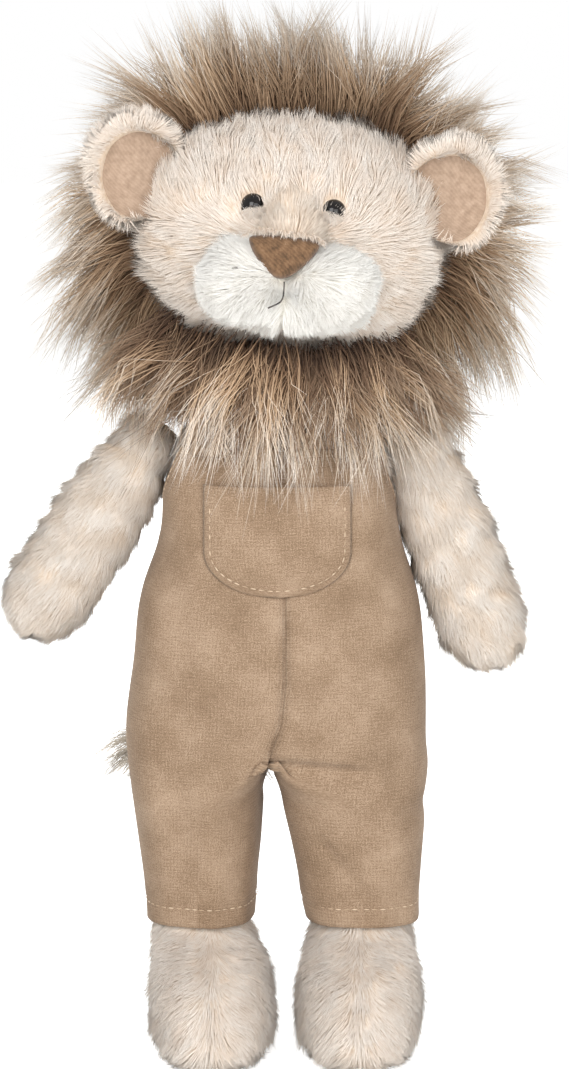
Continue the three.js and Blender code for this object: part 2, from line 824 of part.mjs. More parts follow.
function addHead(lion) {
  const head = new THREE.Group();
  head.position.set(0, 0, neckHeight);
  head.rotation.y = radians(headTiltDegrees);
  const socket = ball(neckBallRadius + jointGap, 0, 0, 0);
  const skin = headForm(0).subtract(headForm(skinWall)).subtract(socket);
  const face = skin
    .subtract(beyond('y', -faceSeamForward - seatGap / 2))
    .subtract(eyeHoles(eyeStem / 2 + seatGap));
  addPiece(head, 'face_skin', face, beigePlush);
  addPiece(head, 'head_back_skin', skin.subtract(below('y', -faceSeamForward + seatGap / 2)), longPile);
  const stuffing = headForm(skinWall + stuffingGap)
    .subtract(socket)
    .subtract(eyeHoles(washerDiameter / 2 + stuffingGap));
  addPiece(head, 'head_stuffing', stuffing, fibre);

  const muzzle = muzzleForm(0).subtract(headForm(-seatGap));
  const nose = noseForm().subtract(muzzleForm(-seatGap)).subtract(pillowSolid(bridgeShape, -seatGap));
  const bridge = pillowSolid(bridgeShape)
    .subtract(headForm(-seatGap))
    .subtract(muzzleForm(-seatGap))
    .subtract(eyeHoles(eyeDiameter / 2 + seatGap));
  addPiece(head, 'muzzle', muzzle, whitePlush);
  addPiece(head, 'snout_bridge', bridge, beigePlush);
  addPiece(head, 'nose', nose, noseVelour);
  addPiece(head, 'mouth_thread', mouthLine(), greyThread);
  for (const side of sides) {
    addEye(head, side);
    addPiece(head, `ear_${side.word}_back`, earShell(side.sign, 0, earWall), beigePlush);
    const lining = earShell(side.sign, earWall + seatGap, earLiningWall);
    addPiece(head, `ear_${side.word}_lining`, lining, tanVelour);
  }
  addPiece(head, 'mane', maneForm(), longPile);
  addPiece(head, 'beard', beardForm(), longPile);
  lion.add(head);
}

function addNeck(lion) {
  const plug = uprightRod(neckPlugRadius, neckHeight - neckPlugLength, neckHeight)
    .add(ball(neckBallRadius, 0, 0, neckHeight));
  addPiece(lion, 'neck_plug', plug, fibre);
}

// Tail, sewn to the seat of the overalls, with its tuft hanging behind the right leg

function tailTube(radius) {
  const root = at(0, tailSeat - tailDiameter / 2, tailRootHeight);
  const back = tailDiameter / 2 + tailBack;
  const route = tailShares.map(([aside, away, down]) => (
    root.clone().add(at(-tailReach * aside, back * away, -tailDrop * down))
  ));
  const section = new THREE.Shape().absarc(0, 0, radius, 0, 2 * Math.PI);
  const options = {
    steps: tailSteps,
    extrudePath: new THREE.CatmullRomCurve3(route),
    curveSegments: tailSides,
  };
  return solidOf(new THREE.ExtrudeGeometry(section, options)).subtract(below('y', tailSeat + seatGap / 2));
}

function addTail(lion) {
  addPiece(lion, 'tail', tailTube(tailDiameter / 2), beigePlush);
  const rings = tuftShares.map(([share, level]) => (
    lockedRing(tuftWidth / 2, tuftDepth / 2, tuftDepth / 2, level * tuftHeight, share, tuftLocks)
  ));
  const back = tailSeat + tailBack;
  const tuft = solidOf(loft(rings))
    .translate(-tailReach - tailDiameter / 2, back, tailRootHeight - tailDrop - tuftHeight + tailDiameter)
    .subtract(tailTube(tailDiameter / 2 + seatGap));
  addPiece(lion, 'tail_tuft', tuft, longPile);
}

// The whole lion, with the soles on the ground and its middle over the origin
function buildLion() {
  const lion = new THREE.Group();
  addTrunk(lion);
  addOveralls(lion);
  addNeck(lion);
  addHead(lion);
  for (const side of sides) {
    addArm(lion, side);
    addLeg(lion, side);
    addPiece(lion, `lap_fold_${side.word}`, lapFold(side.sign), linen);
  }
  addTail(lion);
  const box = new THREE.Box3().setFromObject(lion, true);
  const middle = box.getCenter(new THREE.Vector3());
  lion.position.set(-middle.x, -middle.y, -box.min.z);
  return lion;
}

export default buildLion();
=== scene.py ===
"""Looks of the plush lion in linen overalls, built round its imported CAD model."""
import math

import bmesh
import bpy
import numpy as np
from mathutils import Matrix, Vector


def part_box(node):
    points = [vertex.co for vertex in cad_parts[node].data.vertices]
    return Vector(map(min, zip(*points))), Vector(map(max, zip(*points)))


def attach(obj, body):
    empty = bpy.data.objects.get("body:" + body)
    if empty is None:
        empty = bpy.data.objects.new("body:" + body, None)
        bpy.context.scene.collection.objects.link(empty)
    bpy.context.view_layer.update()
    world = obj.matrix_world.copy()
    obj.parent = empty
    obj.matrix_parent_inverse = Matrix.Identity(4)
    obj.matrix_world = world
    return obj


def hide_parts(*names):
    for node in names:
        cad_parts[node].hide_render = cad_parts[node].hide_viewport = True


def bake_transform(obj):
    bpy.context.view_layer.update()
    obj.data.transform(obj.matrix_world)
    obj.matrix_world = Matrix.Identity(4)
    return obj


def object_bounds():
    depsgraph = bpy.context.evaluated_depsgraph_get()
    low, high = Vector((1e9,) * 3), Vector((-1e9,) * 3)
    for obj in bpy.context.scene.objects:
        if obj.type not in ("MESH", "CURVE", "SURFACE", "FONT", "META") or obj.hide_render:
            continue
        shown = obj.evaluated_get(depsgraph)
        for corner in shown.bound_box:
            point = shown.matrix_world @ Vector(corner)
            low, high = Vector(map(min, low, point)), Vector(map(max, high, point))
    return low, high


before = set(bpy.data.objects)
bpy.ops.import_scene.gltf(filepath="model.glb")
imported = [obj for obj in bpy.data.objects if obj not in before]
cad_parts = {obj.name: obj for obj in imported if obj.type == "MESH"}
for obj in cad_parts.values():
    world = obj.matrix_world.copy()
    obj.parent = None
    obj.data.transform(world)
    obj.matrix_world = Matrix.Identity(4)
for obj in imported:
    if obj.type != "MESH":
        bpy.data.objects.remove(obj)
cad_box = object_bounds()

# Places. Sizes in this file are millimetres, apart from those of the camera, the lamps and the cloth maps,
# which are metres. The neck plug stands on the middle line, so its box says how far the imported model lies
# from the toy's plan.
SIDES = (("right", -1), ("left", 1))
plug_low, plug_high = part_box("neck_plug")
PLAN_X = (plug_low.x + plug_high.x) * 500
PLAN_Y = (plug_low.y + plug_high.y) * 500
NECK_BALL = 20
NECK = np.array([PLAN_X, PLAN_Y, plug_high.z * 1000 - NECK_BALL])
HEAD_TILT = math.radians(4.3)
TURN = np.array(Matrix.Rotation(HEAD_TILT, 3, "Y"))


def to_head(points):
    """Places measured from the middle of the neck ball, along the leaning head, as places in the frame."""
    return np.asarray(points, float) @ TURN.T + NECK


def to_body(points):
    """Places on the plan of the toy as places in the frame."""
    return np.asarray(points, float) + [PLAN_X, PLAN_Y, 0]


def as_is(points):
    return np.asarray(points, float)


def unit(vectors):
    return vectors / np.maximum(np.linalg.norm(vectors, axis=-1, keepdims=True), 1e-9)


def smooth(value):
    value = np.clip(value, 0, 1)
    return value * value * (3 - 2 * value)


def mix(a, b, share):
    return a + (b - a) * share


def bell(value, width):
    return math.exp(-(value / width) ** 2)


def rows(x, y, z):
    """Vectors as rows, from numbers or from arrays of them."""
    return np.stack(np.broadcast_arrays(x, y, z), axis=1)


# Camera, at the photograph's height and distance
CAMERA_ASIDE, CAMERA_AWAY, CAMERA_HEIGHT = 0.0015, 1.15, 0.4
AIM_AHEAD, AIM_HEIGHT = 0.015, 0.203

camera = bpy.data.objects.new("camera", bpy.data.cameras.new("camera"))
camera.data.sensor_width = 36
camera.data.lens = 101.4
camera.location = (PLAN_X / 1000 + CAMERA_ASIDE, PLAN_Y / 1000 - CAMERA_AWAY, CAMERA_HEIGHT)
aim = Vector((PLAN_X / 1000 + CAMERA_ASIDE, PLAN_Y / 1000 - AIM_AHEAD, AIM_HEIGHT))
camera.rotation_euler = (aim - camera.location).to_track_quat("-Z", "Y").to_euler()
bpy.context.scene.collection.objects.link(camera)
bpy.context.scene.camera = camera
bpy.context.scene.view_settings.view_transform = "Standard"


# Materials

def linear(text):
    """An sRGB hex colour as linear light, with its alpha."""
    parts = [int(text[k:k + 2], 16) / 255 for k in (1, 3, 5)]
    return [c / 12.92 if c <= 0.04045 else ((c + 0.055) / 1.055) ** 2.4 for c in parts] + [1]


def add(tree, kind, sockets=(), **settings):
    """A node with its settings, and its sockets, by name or by number, linked or set."""
    made = tree.nodes.new("ShaderNode" + kind)
    for name, value in settings.items():
        setattr(made, name, value)
    for name, value in dict(sockets).items():
        if isinstance(value, bpy.types.NodeSocket):
            tree.links.new(value, made.inputs[name])
        else:
            made.inputs[name].default_value = value
    return made


def ramp(tree, fac, stops):
    """A colour ramp through sRGB hex colours at their shares of the way."""
    made = add(tree, "ValToRGB", {"Fac": fac})
    points = made.color_ramp.elements
    while len(points) < len(stops):
        points.new(1)
    for point, (place, colour) in zip(points, stops):
        point.position = place
        point.color = linear(colour)
    return made.outputs["Color"]


def bands_across(pitch):
    """The scale of a Wave texture whose bands are so many millimetres apart."""
    return 1000 / pitch / 20 * math.pi


def surface(name, roughness, sheen=0.0, specular=0.5, coat=0.0):
    """An empty material with its shader, whose plain numbers are set here."""
    made = bpy.data.materials.new(name)
    made.use_nodes = True
    made.node_tree.nodes.clear()
    tree = made.node_tree
    shader = add(tree, "BsdfPrincipled", {
        "Roughness": roughness,
        "Sheen Weight": sheen,
        "Specular IOR Level": specular,
        "Coat Weight": coat,
    })
    add(tree, "OutputMaterial", {"Surface": shader.outputs["BSDF"]})
    return made, tree, shader


def pile(name, dark, light):
    """Cut pile of polyester or acrylic, dull and soft. Each hair has a tone of its own, between a dark and a
    light one that both run from its root to its tip. Towards its root it is darker, painted shade of where it
    stands deep among the others."""
    made, tree, shader = surface(name, 0.9, specular=0.25)
    place = add(tree, "UVMap", uv_map="OFBake").outputs["UV"]
    parts = add(tree, "SeparateXYZ", {"Vector": place}).outputs
    # a Mix node's colour sockets are numbers 6, 7 and 2, because other kinds come first under their names
    both = add(tree, "Mix", {
        "Factor": parts["X"],
        6: ramp(tree, parts["Y"], dark),
        7: ramp(tree, parts["Y"], light),
    }, data_type="RGBA")
    tree.links.new(both.outputs[2], shader.inputs["Base Color"])
    return made


def backing(name, colour, shade):
    """Knitted backing cloth with the roots of the pile on it, which shows only as shade between the hairs."""
    grain = 1.6
    made, tree, shader = surface(name, 0.95, specular=0.1)
    where = add(tree, "TexCoord").outputs["Object"]
    spots = add(tree, "TexNoise", {"Vector": where, "Scale": 1000 / grain, "Detail": 3.0}).outputs["Fac"]
    tree.links.new(ramp(tree, spots, [(0.35, shade), (0.65, colour)]), shader.inputs["Base Color"])
    return made


# Warm beige cut pile of the face, ears, feet and chest, nearly cream at its tips, with painted shade
# darkening its roots
beige_pile = pile(
    "polyester_plush_beige_cut",
    [(0, "#d0b79e"), (0.35, "#e8d5c3"), (1, "#f3e5d7")],
    [(0, "#e0cbb5"), (0.35, "#f6eadd"), (1, "#fff9f2")],
)
# White cut pile of the muzzle, a little grey at its roots: painted shade deep in the pile
white_pile = pile(
    "polyester_plush_white_cut",
    [(0, "#cfc8bb"), (0.5, "#f0ece4"), (1, "#fdfbf6")],
    [(0, "#e3ded3"), (0.5, "#fcf9f2"), (1, "#fffefa")],
)
# Long acrylic hair, brindled: brown along its length and pale at the tip, and nearly black at the root,
# partly its own colour and partly painted shade deep in the mane
mane_pile = pile(
    "acrylic_long_pile_brindled",
    [(0, "#33221a"), (0.22, "#644a37"), (0.55, "#86694f"), (0.78, "#c1aa91"), (1, "#ecdfcf")],
    [(0, "#5b4232"), (0.22, "#a6886b"), (0.55, "#d2b596"), (0.78, "#f6e9d9"), (1, "#ffffff")],
)
# Shorter acrylic hair of one brown, darker than the beard's own: painted shade deep in the beard, and also
# the few dark stray hairs
dark_hair_and_shade_pile = pile(
    "acrylic_brown_hair_and_painted_shade",
    [(0, "#2e201a"), (0.5, "#6a513f"), (1, "#937a64")],
    [(0, "#4a382c"), (0.5, "#937a63"), (1, "#c2ab93")],
)
# Beige cut pile over the bridge of the snout, a darker, warmer copy of the face's: partly the snout's tan
# tone and partly painted shade of its mound
shaded_snout_pile = pile(
    "polyester_plush_beige_snout_shaded",
    [(0, "#c7ad92"), (0.35, "#dfc9b3"), (1, "#ecdccb")],
    [(0, "#d8c1a8"), (0.35, "#f0e0cf"), (1, "#fcf2e6")],
)
# Beige cut pile of the arms and soles, whose hairs differ more from one another
limb_pile = pile(
    "polyester_plush_beige_limb",
    [(0, "#c2a98f"), (0.35, "#dcc8b3"), (1, "#eadbcb")],
    [(0, "#e0cbb5"), (0.35, "#f6eadd"), (1, "#fff9f2")],
)
# Long grey-beige hair of the tail's tuft
tail_pile = pile(
    "acrylic_long_pile_grey_beige",
    [(0, "#8d7c6b"), (0.5, "#b3a391"), (1, "#d4c7b6")],
    [(0, "#a99885"), (0.5, "#cfc2b1"), (1, "#efe7db")],
)
beige_backing = backing("knitted_backing_beige", "#ecdccb", "#d9c3ab")
white_backing = backing("knitted_backing_white", "#fbf7ee", "#ece6da")
dark_backing = backing("knitted_backing_brown", "#7d6757", "#54423a")


def linen_cloth():
    """Plain-woven washed linen: threads 0.7 mm apart, drawn wider than the real 0.5 mm so that they show,
    with slubs along both ways of the weave and a faded, slightly uneven dye. Its map is in metres."""
    thread_pitch = 0.7
    made, tree, shader = surface("linen_washed_plain_weave", 0.92, sheen=0.08, specular=0.2)
    place = add(tree, "UVMap", uv_map="Cloth").outputs["UV"]
    bands = []
    for direction in ("X", "Y"):
        wave = add(tree, "TexWave", {
            "Vector": place,
            "Scale": bands_across(thread_pitch),
            "Distortion": 0.8,
            "Detail": 1.0,
            "Detail Scale": 2.0,
        }, wave_type="BANDS", bands_direction=direction)
        bands.append(wave.outputs["Fac"])
    slubs = []
    for stretch in ((260, 1900, 1), (1900, 260, 1)):
        drawn = add(tree, "Mapping", {"Vector": place, "Scale": stretch})
        slub = add(tree, "TexNoise", {"Vector": drawn.outputs["Vector"], "Scale": 1.0, "Detail": 2.0})
        slubs.append(slub.outputs["Fac"])
    weave = add(tree, "Math", {0: bands[0], 1: bands[1]}, operation="ADD").outputs[0]
    streaks = add(tree, "Math", {0: slubs[0], 1: slubs[1]}, operation="ADD").outputs[0]
    mottle = add(tree, "TexNoise", {"Vector": place, "Scale": 45.0, "Detail": 3.0}).outputs["Fac"]
    specks = add(tree, "TexNoise", {"Vector": place, "Scale": 2300.0, "Detail": 2.0}).outputs["Fac"]
    total = add(tree, "Math", {0: streaks, 1: 0.5, 2: mottle}, operation="MULTIPLY_ADD").outputs[0]
    total = add(tree, "Math", {0: specks, 1: 1.7, 2: total}, operation="MULTIPLY_ADD").outputs[0]
    scaled = add(tree, "MapRange", {"Value": total, "From Min": 1.35, "From Max": 2.35}).outputs["Result"]
    light = add(tree, "Math", {0: weave, 1: 0.06, 2: scaled}, operation="MULTIPLY_ADD").outputs[0]
    colour = ramp(tree, light, [(0, "#705a45"), (0.5, "#937b64"), (1, "#b8a089")])
    tree.links.new(colour, shader.inputs["Base Color"])
    relief = add(tree, "Math", {0: weave, 1: streaks}, operation="ADD").outputs[0]
    bump = add(tree, "Bump", {"Height": relief, "Strength": 0.35, "Distance": 0.00025})
    tree.links.new(bump.outputs["Normal"], shader.inputs["Normal"])
    return made


linen = linen_cloth()


def velour(name, dark, mid, light):
    """Short-pile velour: a soft mottle where the nap lies both ways, over the fine ribs of its knit."""
    rib, nap_size = 0.42, 2.5
    made, tree, shader = surface(name, 0.85, sheen=0.25, specular=0.15)
    where = add(tree, "TexCoord").outputs["Object"]
    nap = add(tree, "TexNoise", {"Vector": where, "Scale": 1000 / nap_size, "Detail": 5.0}).outputs["Fac"]
    wave = add(tree, "TexWave", {
        "Vector": where,
        "Scale": bands_across(rib),
        "Distortion": 4.0,
        "Detail": 2.0,
        "Detail Scale": 3.0,
    }, wave_type="BANDS", bands_direction="DIAGONAL")
    both = add(tree, "Math", {0: wave.outputs["Fac"], 1: 0.13, 2: nap}, operation="MULTIPLY_ADD").outputs[0]
    tree.links.new(ramp(tree, both, [(0.35, dark), (0.65, mid), (1, light)]), shader.inputs["Base Color"])
    bump = add(tree, "Bump", {"Height": both, "Strength": 0.5, "Distance": 0.0004})
    tree.links.new(bump.outputs["Normal"], shader.inputs["Normal"])
    return made


nose_velour = velour("polyester_velour_brown_ribbed", "#564231", "#7c5f46", "#997b60")
ear_velour = velour("polyester_velour_tan", "#9a8370", "#af9783", "#c0a995")


def twisted_thread(name, colour, shade):
    """Polyester sewing thread with small dark slants along it, painted shade in the grooves of its twist."""
    made, tree, shader = surface(name, 0.6, specular=0.4)
    where = add(tree, "TexCoord").outputs["Object"]
    twist = add(tree, "TexWave", {"Vector": where, "Scale": 110.0}, bands_direction="DIAGONAL").outputs["Fac"]
    tree.links.new(ramp(tree, twist, [(0.2, shade), (0.7, colour)]), shader.inputs["Base Color"])
    return made


tan_thread = twisted_thread("polyester_thread_cream", "#d6c0a6", "#b59c82")
grey_thread = twisted_thread("polyester_thread_charcoal", "#4f4843", "#2a2624")
# pale grey thread whose grey paints the shade of the whisker dents
dent_shade_thread = twisted_thread("polyester_thread_pale_grey_dent_shade", "#b9b6ae", "#8f8c86")


def eye_plastic():
    """Moulded acrylic safety eye, polished, nearly black with a warm brown depth."""
    made, tree, shader = surface("acrylic_black_polished", 0.1, specular=0.3)
    where = add(tree, "TexCoord").outputs["Object"]
    depth = add(tree, "TexNoise", {"Vector": where, "Scale": 300.0, "Detail": 2.0}).outputs["Fac"]
    tree.links.new(ramp(tree, depth, [(0.3, "#070605"), (0.8, "#1a1310")]), shader.inputs["Base Color"])
    return made


black_plastic = eye_plastic()


def neck_cloth():
    """Brown knit of the neck, mottled, which shows only as shade under the mane."""
    made, tree, shader = surface("knitted_neck_cloth", 0.95)
    where = add(tree, "TexCoord").outputs["Object"]
    spots = add(tree, "TexNoise", {"Vector": where, "Scale": 500.0}).outputs["Fac"]
    tree.links.new(ramp(tree, spots, [(0.3, "#6b5546"), (0.7, "#8a7361")]), shader.inputs["Base Color"])
    return made


neck_knit = neck_cloth()


# Making pieces

def shown(name, mesh, body, replaced=()):
    """A mesh put in the scene, that rides on a body, if one is named, and stands in for replaced nodes."""
    piece = bpy.data.objects.new(name, mesh)
    bpy.context.scene.collection.objects.link(piece)
    if body:
        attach(piece, body)
    if replaced:
        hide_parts(*replaced)
    return piece


def keep(name, bm, material, body, replaced=(), into=as_is):
    """The finished piece: its points go from millimetres to their place in the frame, in metres."""
    points = into([v.co[:] for v in bm.verts]) / 1000
    for vertex, point in zip(bm.verts, points):
        vertex.co = point
    mesh = bpy.data.meshes.new(name)
    bm.to_mesh(mesh)
    bm.free()
    mesh.materials.append(material)
    for face in mesh.polygons:
        face.use_smooth = True
    return shown(name, mesh, body, replaced)


def walled(piece, thickness, offset):
    """Gives a sheet its thickness in millimetres, inwards at offset -1 and both ways at 0."""
    wall = piece.modifiers.new("wall", "SOLIDIFY")
    wall.thickness = thickness / 1000
    wall.offset = offset


# How square the pillow forms of the head are: 2 is an ellipsoid
PILLOW = 2.15


def orb(middle, half, squareness=PILLOW, around=56, rings=28):
    """A pillow form: a sphere pushed out to a rounded block."""
    bm = bmesh.new()
    bmesh.ops.create_uvsphere(bm, u_segments=around, v_segments=rings, radius=1)
    for vertex in bm.verts:
        way = vertex.co.copy()
        reach = sum(abs(c) ** squareness for c in way) ** (-1 / squareness)
        vertex.co = [m + h * c * reach for m, h, c in zip(middle, half, way)]
    return bm


def moulded(around, up, place, width=1.0, length=1.0, cloth_at=None):
    """A grid whose points are moved to place(u, v), joined where its sides meet. Its UV map is in metres of
    cloth."""
    cloth_at = cloth_at or (lambda u, v: (u * width, v * length))
    bm = bmesh.new()
    bmesh.ops.create_grid(bm, x_segments=around, y_segments=up, size=0.5)
    cloth = bm.loops.layers.uv.new("Cloth")
    for face in bm.faces:
        for loop in face.loops:
            at = loop.vert.co
            loop[cloth].uv = cloth_at(at.x + 0.5, at.y + 0.5)
    for vertex in bm.verts:
        vertex.co = place(vertex.co.x + 0.5, vertex.co.y + 0.5)
    bmesh.ops.remove_doubles(bm, verts=bm.verts, dist=0.01)
    bmesh.ops.recalc_face_normals(bm, faces=bm.faces)
    return bm


def rounded(angle, squareness):
    """A point of a rounded outline of half size 1."""
    c, s = math.cos(angle), math.sin(angle)
    return math.copysign(abs(c) ** (2 / squareness), c), math.copysign(abs(s) ** (2 / squareness), s)


def between(table, level):
    """The values of a table at a level between two of its rows, joined by a smooth curve."""
    k = max(1, min(len(table) - 1, sum(1 for row in table if row[0] <= level)))
    low, high = table[k - 1], table[k]
    share = max(0.0, min(1.0, (level - low[0]) / (high[0] - low[0])))
    before, after = table[max(k - 2, 0)], table[min(k + 1, len(table) - 1)]
    t2, t3 = share * share, share ** 3
    out = []
    for a, b, c, d in zip(before[1:], low[1:], high[1:], after[1:]):
        curve = 2 * b + (c - a) * share + (2 * a - 5 * b + 4 * c - d) * t2 + (3 * b - a - 3 * c + d) * t3
        out.append(0.5 * curve)
    return out


# Pile: seeded hairs that stand on a piece

def ripple(points, wavelength, seed):
    """A smooth random vector at each point, from sine waves with seeded directions."""
    rng = np.random.default_rng(seed)
    total = np.zeros((len(points), 3))
    for _ in range(9):
        way = unit(rng.normal(size=3)) * 2 * math.pi / (wavelength * rng.uniform(0.7, 1.5))
        total += np.sin(points @ way + rng.uniform(0, 2 * math.pi))[:, None] * rng.normal(size=3)
    return total / 3


def scatter(piece, count, seed):
    """Seeded points spread evenly over a piece, in millimetres, with the smooth normals there."""
    mesh = piece.data
    mesh.calc_loop_triangles()
    spots = np.empty(len(mesh.vertices) * 3, np.float32)
    mesh.vertices.foreach_get("co", spots)
    spots = spots.reshape(-1, 3).astype(float) * 1000
    normals = np.empty(len(mesh.vertices) * 3, np.float32)
    mesh.vertices.foreach_get("normal", normals)
    normals = normals.reshape(-1, 3).astype(float)
    corners = np.empty(len(mesh.loop_triangles) * 3, np.int32)
    mesh.loop_triangles.foreach_get("vertices", corners)
    corners = corners.reshape(-1, 3)
    a, b, c = (spots[corners[:, k]] for k in range(3))
    size = np.linalg.norm(np.cross(b - a, c - a), axis=1)
    rng = np.random.default_rng(seed)
    picked = rng.choice(len(size), count, p=size / size.sum())
    u, v = rng.random((2, count, 1))
    u, v = np.where(u + v > 1, 1 - u, u), np.where(u + v > 1, 1 - v, v)
    places = a[picked] + u * (b - a)[picked] + v * (c - a)[picked]
    na, nb, nc = (normals[corners[picked, k]] for k in range(3))
    return places, unit(na + u * (nb - na) + v * (nc - na))


# Hair may pass the solids' box by 3 % and 10 mm, of which this uses 85 %, and it ends just above the floor.
THIN = 1.0
LOWEST, HIGHEST = np.array([list(corner) for corner in cad_box]) * 1000
SPARE = 0.85 * (0.03 * (HIGHEST - LOWEST) + 10)
LOWEST, HIGHEST = LOWEST - SPARE, HIGHEST + SPARE
LOWEST[2] = 0.3


def kept_in(line):
    """Hairs drawn in towards their roots where they would pass the floor or the room round the solids."""
    root = line[:, 0]
    rise, drop = (line - root[:, None]).max(axis=1), (root[:, None] - line).max(axis=1)
    share = np.minimum((HIGHEST - root) / np.maximum(rise, 1e-6), (root - LOWEST) / np.maximum(drop, 1e-6))
    return root[:, None] + (line - root[:, None]) * np.clip(share.min(axis=1), 0.02, 1)[:, None, None]


def hairs(name, body, material, line, facing, width, tone, shade, replaced=()):
    """Hairs as slim three-sided spikes, each along its own row of points from root to tip. A hair's tone runs
    across the UV map and its length up it. Its shading leans towards the cloth below, as deep pile does."""
    line = kept_in(line)
    count, rings = line.shape[0], line.shape[1] - 1
    along = unit(line[:, -1] - line[:, 0])
    across = unit(facing - (facing * along).sum(1, keepdims=True) * along)
    aside = np.cross(across, along)
    angle = math.pi * (1 / 6 + 2 * np.arange(3) / 3)
    round_it = np.cos(angle)[:, None] * aside[:, None] + np.sin(angle)[:, None] * across[:, None]
    steps = np.arange(rings) / rings
    radius = width[:, None] / 2 * (1 - 0.8 * steps ** 1.6) / math.sqrt(THIN)
    sides = line[:, :-1, None] + radius[:, :, None, None] * round_it[:, None]
    points = np.concatenate([sides.reshape(count, rings * 3, 3), line[:, -1:]], axis=1) / 1000
    per = rings * 3 + 1
    one = [(2, 1, 0)]
    for ring in range(rings - 1):
        for k in range(3):
            a, b = ring * 3 + k, ring * 3 + (k + 1) % 3
            one.append((a, b, b + 3, a + 3))
    last = (rings - 1) * 3
    one += [(last + k, last + (k + 1) % 3, per - 1) for k in range(3)]
    corners = np.array([corner for face in one for corner in face])
    begins = np.cumsum([0] + [len(face) for face in one[:-1]])
    all_corners = (corners + per * np.arange(count)[:, None]).ravel()
    all_begins = (begins + len(corners) * np.arange(count)[:, None]).ravel()
    mesh = bpy.data.meshes.new(name)
    mesh.vertices.add(count * per)
    mesh.vertices.foreach_set("co", points.astype(np.float32).ravel())
    mesh.loops.add(len(all_corners))
    mesh.loops.foreach_set("vertex_index", all_corners.astype(np.int32))
    mesh.polygons.add(len(all_begins))
    mesh.polygons.foreach_set("loop_start", all_begins.astype(np.int32))
    mesh.polygons.foreach_set("use_smooth", np.ones(len(all_begins), bool))
    up_it = np.concatenate([np.repeat(steps, 3), [1.0]])
    uv = np.stack([np.repeat(np.clip(tone, 0.01, 0.99), per), np.tile(up_it, count)], axis=1)
    mesh.uv_layers.new(name="OFBake")
    mesh.update(calc_edges=True)
    mesh.uv_layers["OFBake"].data.foreach_set("uv", uv[all_corners].astype(np.float32).ravel())
    out = np.broadcast_to(round_it[:, None], (count, rings, 3, 3)).reshape(count, -1, 3)
    out = np.concatenate([out, facing[:, None]], axis=1)
    lit = unit((1 - shade) * out + shade * facing[:, None])
    mesh.normals_split_custom_set_from_vertices(lit.reshape(-1, 3))
    mesh.materials.append(material)
    shown(name, mesh, body, replaced)


def no_bare(points):
    """For a piece that has pile all over."""
    return np.zeros(len(points), bool)


def plush(name, body, skin, material, count, seed, comb, leave, length=8.0, width=0.42, lift=0.36, tuft=0.3,
          shade=0.82, ahead=0.0, patch=0.2):
    """Short cut pile on a piece. It is combed along comb(points), stands up by lift, and lies in soft tufts
    and patches of tone. leave(points) says where no hair grows. Its shading turns ahead a little, because
    light soaks through white and beige pile."""
    roots, normals = scatter(skin, int(count * THIN), seed)
    stay = ~leave(roots)
    roots, normals = roots[stay], normals[stay]
    rng = np.random.default_rng(seed + 1)
    way = comb(roots)
    way = unit(way - (way * normals).sum(1, keepdims=True) * normals)
    wander = ripple(roots, 9.0, seed + 2) * tuft + rng.normal(size=roots.shape) * 0.10
    way = unit(way + normals * (lift + rng.normal(size=(len(roots), 1)) * 0.07) + wander)
    size = length * rng.uniform(0.6, 1.12, len(roots)) * (1 + 0.12 * ripple(roots, 16.0, seed + 3)[:, 0])
    line = np.stack([roots, roots + way * size[:, None]], axis=1)
    tone = 0.5 + patch * ripple(roots, 11.0, seed + 4)[:, 0] + rng.normal(size=len(roots)) * 0.2
    widths = width * rng.uniform(0.75, 1.25, len(roots))
    facing = unit(normals + [0, -ahead, 0])
    hairs(name, body, material, line, facing, widths, np.clip(tone, 0, 1), shade)


def locks(name, body, material, centres, knees, tips, facing, each, spread, seed, replaced, gather=0.8,
          stray=0.05, sway=0.07, width=0.5, bright=0.5, vary=0.75):
    """Long hair in locks. A lock bends from its centre by way of its knee to its tip. Its hairs leave the
    cloth over a spread, gather towards the tip and sway together, and a few stray."""
    rings = 3
    rng = np.random.default_rng(seed)
    each = max(4, int(each * THIN))
    lock = np.repeat(np.arange(len(centres)), each)
    t = (np.arange(rings + 1) / rings)[None, :, None]
    aside = rng.normal(size=(len(lock), 3)) * spread
    aside -= (aside * facing[lock]).sum(1, keepdims=True) * facing[lock]
    size = rng.uniform(0.6, 1.06, len(lock))[:, None, None]
    reach = np.linalg.norm(tips - centres, axis=1)
    u = t * size
    bend = 2 * u * (1 - u) * (knees - centres)[lock][:, None] + u * u * (tips - centres)[lock][:, None]
    side = unit(np.cross(tips - centres, rng.normal(size=centres.shape)))
    phase = rng.uniform(0, 2, len(centres))[:, None, None]
    wave = np.sin(math.pi * (1.3 * t + phase)) - np.sin(math.pi * phase)
    swing = (side * (reach * sway)[:, None])[:, None] * wave
    wild = rng.normal(size=(len(lock), 1, 3)) * np.where(rng.random((len(lock), 1, 1)) < 0.1, 2.6, 1)
    line = centres[lock][:, None] + bend + swing[lock] + aside[:, None] * (1 - gather * smooth(u))
    line = line + wild * (reach * stray)[lock][:, None, None] * t * t
    own = rng.uniform(-0.5, 0.5, len(centres))
    tone = np.clip(bright + vary * own[lock] + rng.normal(size=len(lock)) * 0.2, 0, 1)
    widths = width * rng.uniform(0.6, 1.2, len(lock))
    hairs(name, body, material, line, facing[lock], widths, tone, 0.55, replaced)


# Head

FACE_SEAM = -12
HEAD_MIDDLE = (0, -5, 54)
HEAD_HALF = (57.2, 47, 40.6)
NOSE_MIDDLE = (-2.5, -66, 47)
EYE_DEPTH, EYE_LEVEL, EYE_ASIDE, EYE_RADIUS = -47.9, 63.4, 14.6, 4.7
# The muzzle is grown from two lobes and a chin, and the bridge of the snout from two forms. Each has a middle
# and half sizes.
LOBES = [
    ((-14.5, -49, 36.2), (16, 19, 14)),
    ((14.5, -49, 36.2), (16, 19, 14)),
    ((0, -49.5, 28.5), (16, 15.5, 8.3)),
]
BRIDGES = [((0, -46, 54.5), (10.5, 18.5, 8.5)), ((0, -43, 60), (10, 13.5, 11))]


